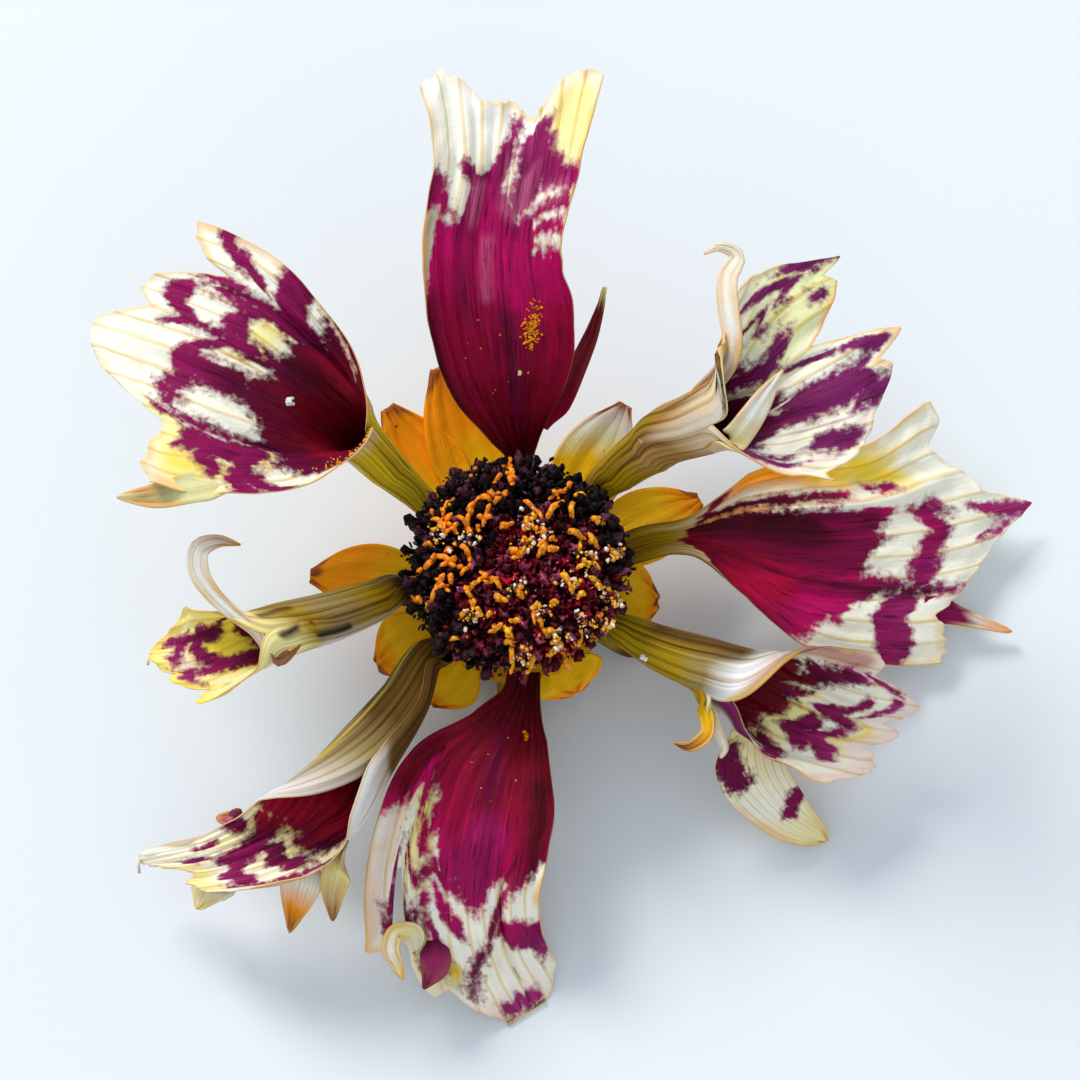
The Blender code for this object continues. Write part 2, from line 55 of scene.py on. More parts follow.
# Colours as they look on screen, 0 to 255.
palette = {
    "cream": (244, 240, 222), "milk": (248, 246, 238), "butter": (246, 232, 160), "yellow": (238, 208, 62),
    "lemonCream": (226, 226, 170), "beige": (222, 196, 160), "pinkCream": (238, 214, 204),
    "orange": (255, 156, 8), "gold": (255, 196, 12), "rust": (156, 82, 34), "bark": (90, 50, 24),
    "deepMaroon": (56, 0, 8), "maroon": (104, 2, 20), "crimson": (150, 4, 34), "cerise": (184, 6, 54),
    "magenta": (188, 10, 92), "purple": (132, 14, 76), "dustyPurple": (148, 40, 98), "inkPurple": (88, 2, 44),
    "rose": (220, 120, 156), "violet": (112, 26, 84), "berry": (146, 2, 52), "dustyRose": (196, 146, 132),
    "mud": (104, 72, 26), "tan": (176, 134, 72), "frost": (240, 242, 246), "sulphur": (252, 226, 84),
    "darkOlive": (104, 76, 4), "olive": (170, 138, 10), "mossYellow": (216, 186, 30),
    "greyOlive": (158, 138, 90), "ash": (214, 206, 200), "soot": (12, 5, 7),
    "stemGreen": (104, 100, 44), "stemBrown": (92, 70, 36),
}


def tone(name):
    # screen value to light value: c / 12.92 where dark, else ((c + 0.055) / 1.055) to the power 2.4
    c = np.array(palette[name]) / 255.0
    return np.where(c <= 0.04045, c / 12.92, ((c + 0.055) / 1.055) ** 2.4)


def unitOf(vectors):
    # each vector over its own length
    return vectors / np.maximum(np.linalg.norm(vectors, axis=-1, keepdims=True), 1e-12)


def ease(low, high, x):
    # 0 below low, 1 above high, and 3t^2 - 2t^3 between them
    t = np.clip((x - low) / (high - low), 0, 1)
    return t * t * (3 - 2 * t)


def softNoise(x, y, seed):
    # random heights from -1 to 1 on whole-number crossings, eased between the crossings
    span = 61  # crossings each way before the pattern comes again
    heights = np.random.default_rng(seed).uniform(-1, 1, (span, span))
    i = np.floor(x).astype(int)
    j = np.floor(y).astype(int)
    fx, fy = x - i, y - j
    fx = fx * fx * (3 - 2 * fx)
    fy = fy * fy * (3 - 2 * fy)
    near = heights[i % span, j % span] * (1 - fx) + heights[(i + 1) % span, j % span] * fx
    far = heights[i % span, (j + 1) % span] * (1 - fx) + heights[(i + 1) % span, (j + 1) % span] * fx
    return near * (1 - fy) + far * fy


def smoothCurve(stations, values, place):
    # cubic through the values, with the slope at each station taken from its neighbours
    stations, values = np.asarray(stations, float), np.asarray(values, float)
    if values.ndim == 1:
        values = values[:, None]
    slopes = np.gradient(values, stations, axis=0)
    i = np.clip(np.searchsorted(stations, place, side="right") - 1, 0, len(stations) - 2)
    step = stations[i + 1] - stations[i]
    t = ((place - stations[i]) / step)[..., None]
    start, end = (1 + 2 * t) * (1 - t) ** 2, t * t * (3 - 2 * t)
    leave, arrive = t * (1 - t) ** 2, t * t * (t - 1)
    between = start * values[i] + end * values[i + 1]
    return between + step[..., None] * (leave * slopes[i] + arrive * slopes[i + 1])


def pairsOf(values):
    # one value for both halves of a blade becomes a pair, left and right
    return [v if isinstance(v, tuple) else (v, v) for v in values]


def rampOf(stops, place):
    # colour along a blade: straight blends between (place, colour name) stops
    marks = [s[0] for s in stops]
    colours = np.array([tone(s[1]) for s in stops])
    return np.stack([np.interp(place, marks, colours[:, k]) for k in range(3)], -1)


def lineOf(points, v):
    # a broken line of (across, along) points, read at v
    return np.interp(v, [p[0] for p in points], [p[1] for p in points])


def strokeField(strokes, v, u, wide, long):
    # depth inside the nearest stroke: its radius, which may change along it, less the distance to
    # the line between its two ends
    best = np.full(np.broadcast(v, u).shape, unmarked)
    for v0, u0, v1, u1, *radii in strokes:
        ax, ay, bx, by = v0 * wide, u0 * long, v1 * wide, u1 * long
        px, py = v * wide - ax, u * long - ay
        dx, dy = bx - ax, by - ay
        t = np.clip((px * dx + py * dy) / max(dx * dx + dy * dy, 1e-9), 0, 1)
        radius = radii[0] + (radii[-1] - radii[0]) * t
        best = np.maximum(best, radius - np.hypot(px - t * dx, py - t * dy))
    return best


def lobeReach(lobes, across, seed):
    # each lobe reaches less beside its place by drop x (distance / half) ^ power; the furthest lobe
    # counts, kept between the two limits, and fine teeth are added
    shortest, longest = 0.45, 1.1
    reach = []
    for lobe in lobes:
        away = np.abs(across - lobe["at"]) / lobe["half"]
        reach.append(lobe["reach"] - lobe["drop"] * away ** lobe.get("power", 2.0))
    teeth = 0.010 * softNoise(across * 7 + 20, across * 0 + 3, seed)
    teeth = teeth + 0.006 * softNoise(across * 22 + 30, across * 0, seed)
    return np.clip(np.max(reach, axis=0), shortest, longest) + teeth


# A rolled claw starts to close at the first curl, in degrees, and is shut at the second. A shut half
# turns further by its share, and the margin that laps over the other is lifted by `lap`.
rolledClaw = {"closing": 95, "shut": 150, "further": (0.36, 0.19), "lap": 0.15}


def bladeSurface(blade, rows, across, seed):
    # Middle surface: a smooth spine; at each place each half of the blade is an arc of length
    # width x |v| that turns up by curl x |v|, so out = w sin(a) / a and lift = w (1 - cos(a)) / a.
    # Where a claw is rolled shut, the left margin goes on past the seam and lies over the right one.
    spine = np.array(blade["spine"], float)
    lengths = np.linalg.norm(np.diff(spine, axis=0), axis=1)
    stations = np.concatenate([[0.0], np.cumsum(lengths)]) / lengths.sum()
    reach = lobeReach(blade["lobes"], across, seed) if "lobes" in blade else np.ones_like(across)
    place = rows[:, None] * reach[None, :]
    centre = smoothCurve(stations, spine, place)
    nudge = 1e-3
    tangent = unitOf(smoothCurve(stations, spine, np.clip(place + nudge, 0, 1))
                     - smoothCurve(stations, spine, np.clip(place - nudge, 0, 1)))
    facing = np.array(blade.get("facing", upward), float)
    if "rootFace" in blade:  # a strip leaves in the petal's own plane and turns to face its own way
        facing = blade["rootFace"] + (facing - blade["rootFace"]) * ease(0.0, 0.5, place)[..., None]
    up = unitOf(facing - (tangent * facing).sum(-1, keepdims=True) * tangent)
    roll = np.radians(smoothCurve(stations, blade.get("roll", [0.0] * len(spine)), place))
    face = np.cos(roll) * up + np.sin(roll) * np.cross(up, tangent)
    side = np.cross(face, tangent)
    left = (across >= 0)[None, :]
    widths = smoothCurve(stations, pairsOf(blade["halfWidth"]), place)
    curls = smoothCurve(stations, pairsOf(blade.get("curl", [0.0] * len(spine))), place)
    if "mouth" in blade:  # a rolled claw stays shut up to its mouth and opens over a short stretch
        opened = np.stack([ease(*blade["mouth"][0], place), ease(*blade["mouth"][1], place)], -1)
        rolled = np.maximum(curls, rolledClaw["shut"]) * ease(-0.15, 0.08, place)[..., None]
        curls = curls * opened + rolled * (1 - opened)
    shut = ease(rolledClaw["closing"], rolledClaw["shut"], curls)
    further = 1 + shut * np.array(rolledClaw["further"])
    widths, curls = widths * further, np.radians(curls * further)
    width = np.maximum(np.where(left, widths[..., 0], widths[..., 1]), 0.04) * np.abs(across)
    turn = np.maximum(np.where(left, curls[..., 0], curls[..., 1]) * np.abs(across), 1e-6)
    shut = np.where(left, shut[..., 0], shut[..., 1])
    lap = rolledClaw["lap"] * shut * ease(0.55, 0.9, across)[None, :]
    out = (width / turn + lap) * np.sin(turn) * np.where(left, 1, -1)
    lift = width / turn * (1 - np.cos(turn)) - lap * np.cos(turn)
    if "rootFace" in blade:  # a strip is narrower at its root, and its tip is rounded
        rounded = np.sqrt(np.clip(1 - place ** 7, 0.002, 1))
        out = out * rounded * (0.5 + 0.5 * ease(0.0, 0.22, place))
    return centre + side * out[..., None] + face * lift[..., None], shut


def bladeNormals(points):
    # across the slopes along the rows and along the columns, over its own length
    return unitOf(np.cross(np.gradient(points, axis=0), np.gradient(points, axis=1)))


# How far in mm each kind of fold stands over a blade's middle surface.
foldHeights = {"vein": 0.035, "pleat": 0.16, "smallPleat": 0.08, "crumple": 0.10, "fineCrumple": 0.045,
               "ripple": 0.20, "rib": 0.06}


def relief(blade, rows, across, seed, wide, long, shut):
    # height of folds over the middle surface: veins as a cosine across, wider pleats and crumple
    # from soft noise that grows towards the tip, a ripple at the margins, and named folds; a claw
    # that is rolled shut keeps little but long ribs
    v, u = across[None, :], rows[:, None]
    tall = foldHeights
    grow = 0.35 + 0.65 * ease(0.3, 1.0, u)
    veins = tall["vein"] * np.cos(2 * math.pi * blade["veins"] * (v * 0.5 + 0.5)) * ease(0.0, 0.2, u)
    pleats = tall["pleat"] * softNoise(v * 3.2 + 9, u * 1.6 + 4, seed + 1)
    pleats = pleats + tall["smallPleat"] * softNoise(v * 8 + 9, u * 3 + 2, seed + 2)
    crumple = tall["crumple"] * softNoise(v * wide * 1.1 + 15, u * long * 0.8, seed + 3)
    crumple = crumple + tall["fineCrumple"] * softNoise(v * wide * 2.6 + 15, u * long * 1.8, seed + 4)
    margin = ease(0.62, 1.0, np.abs(v)) + 0.7 * ease(0.86, 1.0, u)
    ripple = tall["ripple"] * margin * softNoise(u * long * 0.7 + 3 * v + 7, v * 2.0 + 5, seed + 5)
    calm = 1 - shut * (0.6 + 0.4 * ease(0.5, 0.75, np.abs(v)))
    ribs = tall["rib"] * shut * softNoise(v * 7 + 11, u * 1.2 + 2, seed + 7)
    height = veins + ribs + blade.get("crumple", 1.0) * grow * calm * (pleats + crumple + ripple)
    for at, depth, width, low, high in blade.get("folds", []):
        bent = at + 0.04 * softNoise(u * 5 + 3, u * 0 + 1, seed + 6)
        bump = depth * np.exp(-((v - bent) / width) ** 2)
        height = height + bump * ease(low, low + 0.12, u) * ease(-high, 0.1 - high, -u)
    return height


def closedSheet(points, normal, thickness):
    # two copies of a grid, half the thickness to each side, with quads on both and round the rim
    rows, columns = points.shape[:2]
    half = (normal * thickness[..., None] / 2)
    both = np.concatenate([(points - half).reshape(-1, 3), (points + half).reshape(-1, 3)])
    index = np.arange(rows * columns).reshape(rows, columns)
    a, b = index[:-1, :-1].ravel(), index[:-1, 1:].ravel()
    c, d = index[1:, 1:].ravel(), index[1:, :-1].ravel()
    upper = np.stack([a, d, c, b], 1) + rows * columns
    lower = np.stack([a, b, c, d], 1)
    ring = np.concatenate([index[0, :], index[1:, -1], index[-1, -2::-1], index[-2:0:-1, 0]])
    after = np.roll(ring, -1)
    rim = np.stack([ring, ring + rows * columns, after + rows * columns, after], 1)
    return both, np.concatenate([lower, upper, rim])


def pieceFrom(name, parts, material, nodes=()):
    # joins part meshes (vertices, faces, uv, attributes) into one object at the origin, in metres
    vertices, faces, start = [], [], 0
    for part in parts:
        vertices.append(part["vertices"])
        for group in part["faces"]:
            faces += (group + start).tolist()
        start += len(part["vertices"])
    mesh = bpy.data.meshes.new(name)
    mesh.from_pydata((np.concatenate(vertices) * mm + headAxis).tolist(), [], faces)
    corners = np.zeros(len(mesh.loops), np.int32)
    mesh.loops.foreach_get("vertex_index", corners)
    if "uv" in parts[0]:
        uv = np.concatenate([part["uv"] for part in parts])
        mesh.uv_layers.new(name="pieceUV").data.foreach_set("uv", uv[corners].astype(np.float32).ravel())
    for key in parts[0].get("values", {}):
        column = np.concatenate([part["values"][key] for part in parts]).astype(np.float32)
        if column.ndim == 2:
            column = np.concatenate([column, np.ones((len(column), 1), np.float32)], 1)
            mesh.attributes.new(key, "FLOAT_COLOR", "POINT").data.foreach_set("color", column.ravel())
        else:
            mesh.attributes.new(key, "FLOAT", "POINT").data.foreach_set("value", column)
    mesh.polygons.foreach_set("use_smooth", np.ones(len(mesh.polygons), bool))
    mesh.validate()
    mesh.update()
    piece = bpy.data.objects.new(name, mesh)
    bpy.context.scene.collection.objects.link(piece)
    mesh.materials.append(material)
    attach(piece, "root")
    if nodes:
        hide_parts(*nodes)
    return piece


def newMaterial(name):
    # a material with its node tree and its one surface node
    material = bpy.data.materials.new(name)
    material.use_nodes = True
    return material, material.node_tree, material.node_tree.nodes["Principled BSDF"]


def plug(tree, socket, value):
    # links another node's output, or sets a plain value
    if isinstance(value, bpy.types.NodeSocket):
        tree.links.new(value, socket)
    else:
        socket.default_value = value


def join(tree, kind, inputs, **settings):
    # a node with its settings, and its inputs either linked or set
    node = tree.nodes.new(kind)
    for key, value in settings.items():
        setattr(node, key, value)
    for key, value in inputs.items():
        plug(tree, node.inputs[key], value)
    return node


def sums(tree, operation, *values, clamp=False):
    # one sum on numbers, such as ADD or MULTIPLY
    node = join(tree, "ShaderNodeMath", dict(enumerate(values)), operation=operation, use_clamp=clamp)
    return node.outputs[0]


def blendOf(tree, share, first, second, way="MIX"):
    # first x (1 - share) + second x share, for colours
    node = tree.nodes.new("ShaderNodeMix")
    node.data_type, node.blend_type = "RGBA", way
    for place, value in ((0, share), (6, first), (7, second)):
        plug(tree, node.inputs[place], value)
    return node.outputs[2]


def timesColour(tree, colour, factors):
    # a colour times three factors
    return blendOf(tree, 1.0, colour, (*factors, 1.0), "MULTIPLY")


def stepOf(tree, value, low, high):
    # 0 below low, 1 above high, eased between them
    return join(tree, "ShaderNodeMapRange", {0: value, 1: low, 2: high, 3: 0.0, 4: 1.0},
                interpolation_type="SMOOTHSTEP").outputs[0]


def patches(tree, value, low, high, strength):
    # where noise passes from low to high, eased, times a strength
    return sums(tree, "MULTIPLY", stepOf(tree, value, low, high), strength)


def noiseOf(tree, vector, scale, detail=3.0):
    # noise from 0 to 1 with so many grains to a unit of its source
    return join(tree, "ShaderNodeTexNoise",
                {"Vector": vector, "Scale": scale, "Detail": detail, "Roughness": 0.55}).outputs[0]


def fibresOf(tree, source, across, along, detail=3.0):
    # noise drawn out along a blade: so many grains across its map and so many along it
    drawnOut = join(tree, "ShaderNodeMapping", {"Vector": source, "Scale": (across, along, 1.0)}).outputs[0]
    return noiseOf(tree, drawnOut, 1.0, detail)


def attributeOf(tree, name, output="Color"):
    # a value that the mesh carries at its points
    return join(tree, "ShaderNodeAttribute", {}, attribute_name=name).outputs[output]


def objectPlace(tree):
    # the point on the piece, in metres
    return join(tree, "ShaderNodeTexCoord", {}).outputs["Object"]


def pieceMap(tree, shift):
    # the piece's own map, and the same moved aside so that no two pieces share a pattern
    uv = join(tree, "ShaderNodeUVMap", {}, uv_map="pieceUV").outputs[0]
    return uv, join(tree, "ShaderNodeMapping", {"Vector": uv, "Location": shift}).outputs[0]


def finishSurface(tree, surface, colour, height, noise, finish):
    # colour, a bump from a height, and a roughness that goes from one value to the other as the
    # noise goes from 0.3 to 0.7
    tree.links.new(colour, surface.inputs["Base Color"])
    bump = join(tree, "ShaderNodeBump",
                {"Height": height, "Strength": finish["bump"], "Distance": finish["depth"]})
    tree.links.new(bump.outputs[0], surface.inputs["Normal"])
    smooth, rough = finish["rough"]
    spread = join(tree, "ShaderNodeMapRange", {0: noise, 1: 0.3, 2: 0.7, 3: smooth, 4: rough})
    tree.links.new(spread.outputs[0], surface.inputs["Roughness"])
    surface.inputs["Specular IOR Level"].default_value = finish["gloss"]


def colour4(name):
    # a palette colour for a node's socket
    return (*tone(name).tolist(), 1.0)


petalFinish = {"bump": 0.55, "depth": 0.00012, "rough": (0.46, 0.70), "gloss": 0.10}


def petalPaper(name, veins, seed):
    # Dried petal: the pale ground and the dark marks come from the mesh as colours, the mark's
    # edge is feathered along the veins, and thin veins, streaks and grain are laid over both.
    material, tree, surface = newMaterial(name)
    uv, shifted = pieceMap(tree, (seed * 3.7, seed * 1.3, 0.0))
    streak = fibresOf(tree, shifted, veins * 3.0, 5.0)
    fibre = fibresOf(tree, shifted, veins * 9.0, 9.0)
    feather = fibresOf(tree, shifted, veins * 2.2, 15.0)
    grain = noiseOf(tree, objectPlace(tree), 3600.0, 2.0)
    patch = noiseOf(tree, objectPlace(tree), 900.0)
    pale, dark = attributeOf(tree, "pale"), attributeOf(tree, "dark")

    def centred(value, strength):
        # noise about 0 instead of 0.5
        return sums(tree, "MULTIPLY", sums(tree, "SUBTRACT", value, 0.5), strength)

    # the mark's edge wanders with the feathering, the grain and the patches
    wander = sums(tree, "ADD", centred(feather, 0.55), centred(grain, 0.55))
    wander = sums(tree, "ADD", wander, centred(patch, 0.35))
    masked = stepOf(tree, sums(tree, "ADD", attributeOf(tree, "mark", "Fac"), wander), -0.30, 0.12)

    # thin veins: a cosine across the blade, narrowed to a line, wandering a little with the streaks
    across = join(tree, "ShaderNodeSeparateXYZ", {"Vector": uv}).outputs[0]
    wave = sums(tree, "ADD", sums(tree, "MULTIPLY", across, veins * 2 * math.pi), centred(streak, 1.2))
    vein = stepOf(tree, sums(tree, "COSINE", wave), 0.80, 1.0)
    paleVein = timesColour(tree, pale, (0.90, 0.66, 0.24))
    veinShare = sums(tree, "MULTIPLY", vein, sums(tree, "MULTIPLY", streak, 1.2), clamp=True)
    ground = blendOf(tree, veinShare, pale, paleVein)

    # brown stripes of a rolled claw: broad ribs, threads and even lines together
    rib = fibresOf(tree, shifted, veins * 1.7, 0.8, 2.0)
    thread = fibresOf(tree, shifted, veins * 6.0, 1.6, 2.0)
    line = stepOf(tree, sums(tree, "COSINE", sums(tree, "MULTIPLY", wave, 2.0)), 0.15, 0.95)
    stripes = sums(tree, "ADD", patches(tree, rib, 0.46, 0.62, 0.45), patches(tree, thread, 0.48, 0.64, 0.45))
    stripes = sums(tree, "ADD", stripes, sums(tree, "MULTIPLY", line, 0.4), clamp=True)
    stripes = sums(tree, "MULTIPLY", stripes, attributeOf(tree, "lined", "Fac"))
    ground = blendOf(tree, stripes, ground, timesColour(tree, pale, (0.20, 0.13, 0.05)))
    ground = blendOf(tree, patches(tree, patch, 0.5, 0.75, 0.22), ground, paleVein)

    # dark marks: lighter streaks, deep fibres and a light grain
    lit = timesColour(tree, dark, (1.55, 1.5, 1.7))
    shade = timesColour(tree, dark, (0.30, 0.22, 0.30))
    tinted = blendOf(tree, stepOf(tree, streak, 0.50, 0.72), dark, lit)
    tinted = blendOf(tree, stepOf(tree, fibre, 0.52, 0.70), tinted, shade)
    tinted = blendOf(tree, patches(tree, grain, 0.55, 0.8, 0.5), tinted, lit)

    height = sums(tree, "ADD", sums(tree, "MULTIPLY", fibre, 0.5), sums(tree, "MULTIPLY", grain, 0.35))
    height = sums(tree, "ADD", height, sums(tree, "MULTIPLY", vein, 0.35))
    finishSurface(tree, surface, blendOf(tree, masked, ground, tinted), height, grain, petalFinish)
    return material


# A petal's places are (across, along): across runs from -1 at its right margin to 1 at its left one,
# seen from the disc outwards, and along from 0 at the disc to 1 at the outline. `spine`, `halfWidth`,
# `curl` and `roll` give the blade's shape along its length, `lobes` its outline, `mouth` where each
# half of a rolled claw opens, and `folds` (across, height, width, from, to) its sharper folds.
# `limit` is how far the maroon of the base reaches, `claw` how far the plain claw does. Strokes are
# (across, along, across, along, radius in mm, radius at the end): `marks` are purple, `cuts` pale
# gaps in the purple and `creases` thin brown lines. `tints` on the pale ground, `inks` on the dark
# marks and `stains` on the back name a colour first. `dark`, `ground` and `back` are colours along
# the blade. A strip starts at `root` (along, across) of its petal, `lower` mm under it, and `worn` is
# how much of the dried margin it has.
petalGrid = {"rows": 132, "columns": 97, "thickness": 0.15}
stripGrid = {"rows": 40, "columns": 15, "thickness": 0.15}
innerDark = [(0.0, "deepMaroon"), (0.2, "maroon"), (0.45, "berry"), (0.64, "magenta"), (0.8, "purple"),
             (1.0, "dustyPurple")]
rolledDark = [(0.0, "deepMaroon"), (0.55, "deepMaroon"), (0.66, "inkPurple"), (0.8, "violet"),
              (1.0, "violet")]
flatBack = [(0.0, "darkOlive"), (0.2, "olive"), (0.45, "greyOlive"), (0.7, "beige"), (1.0, "cream")]

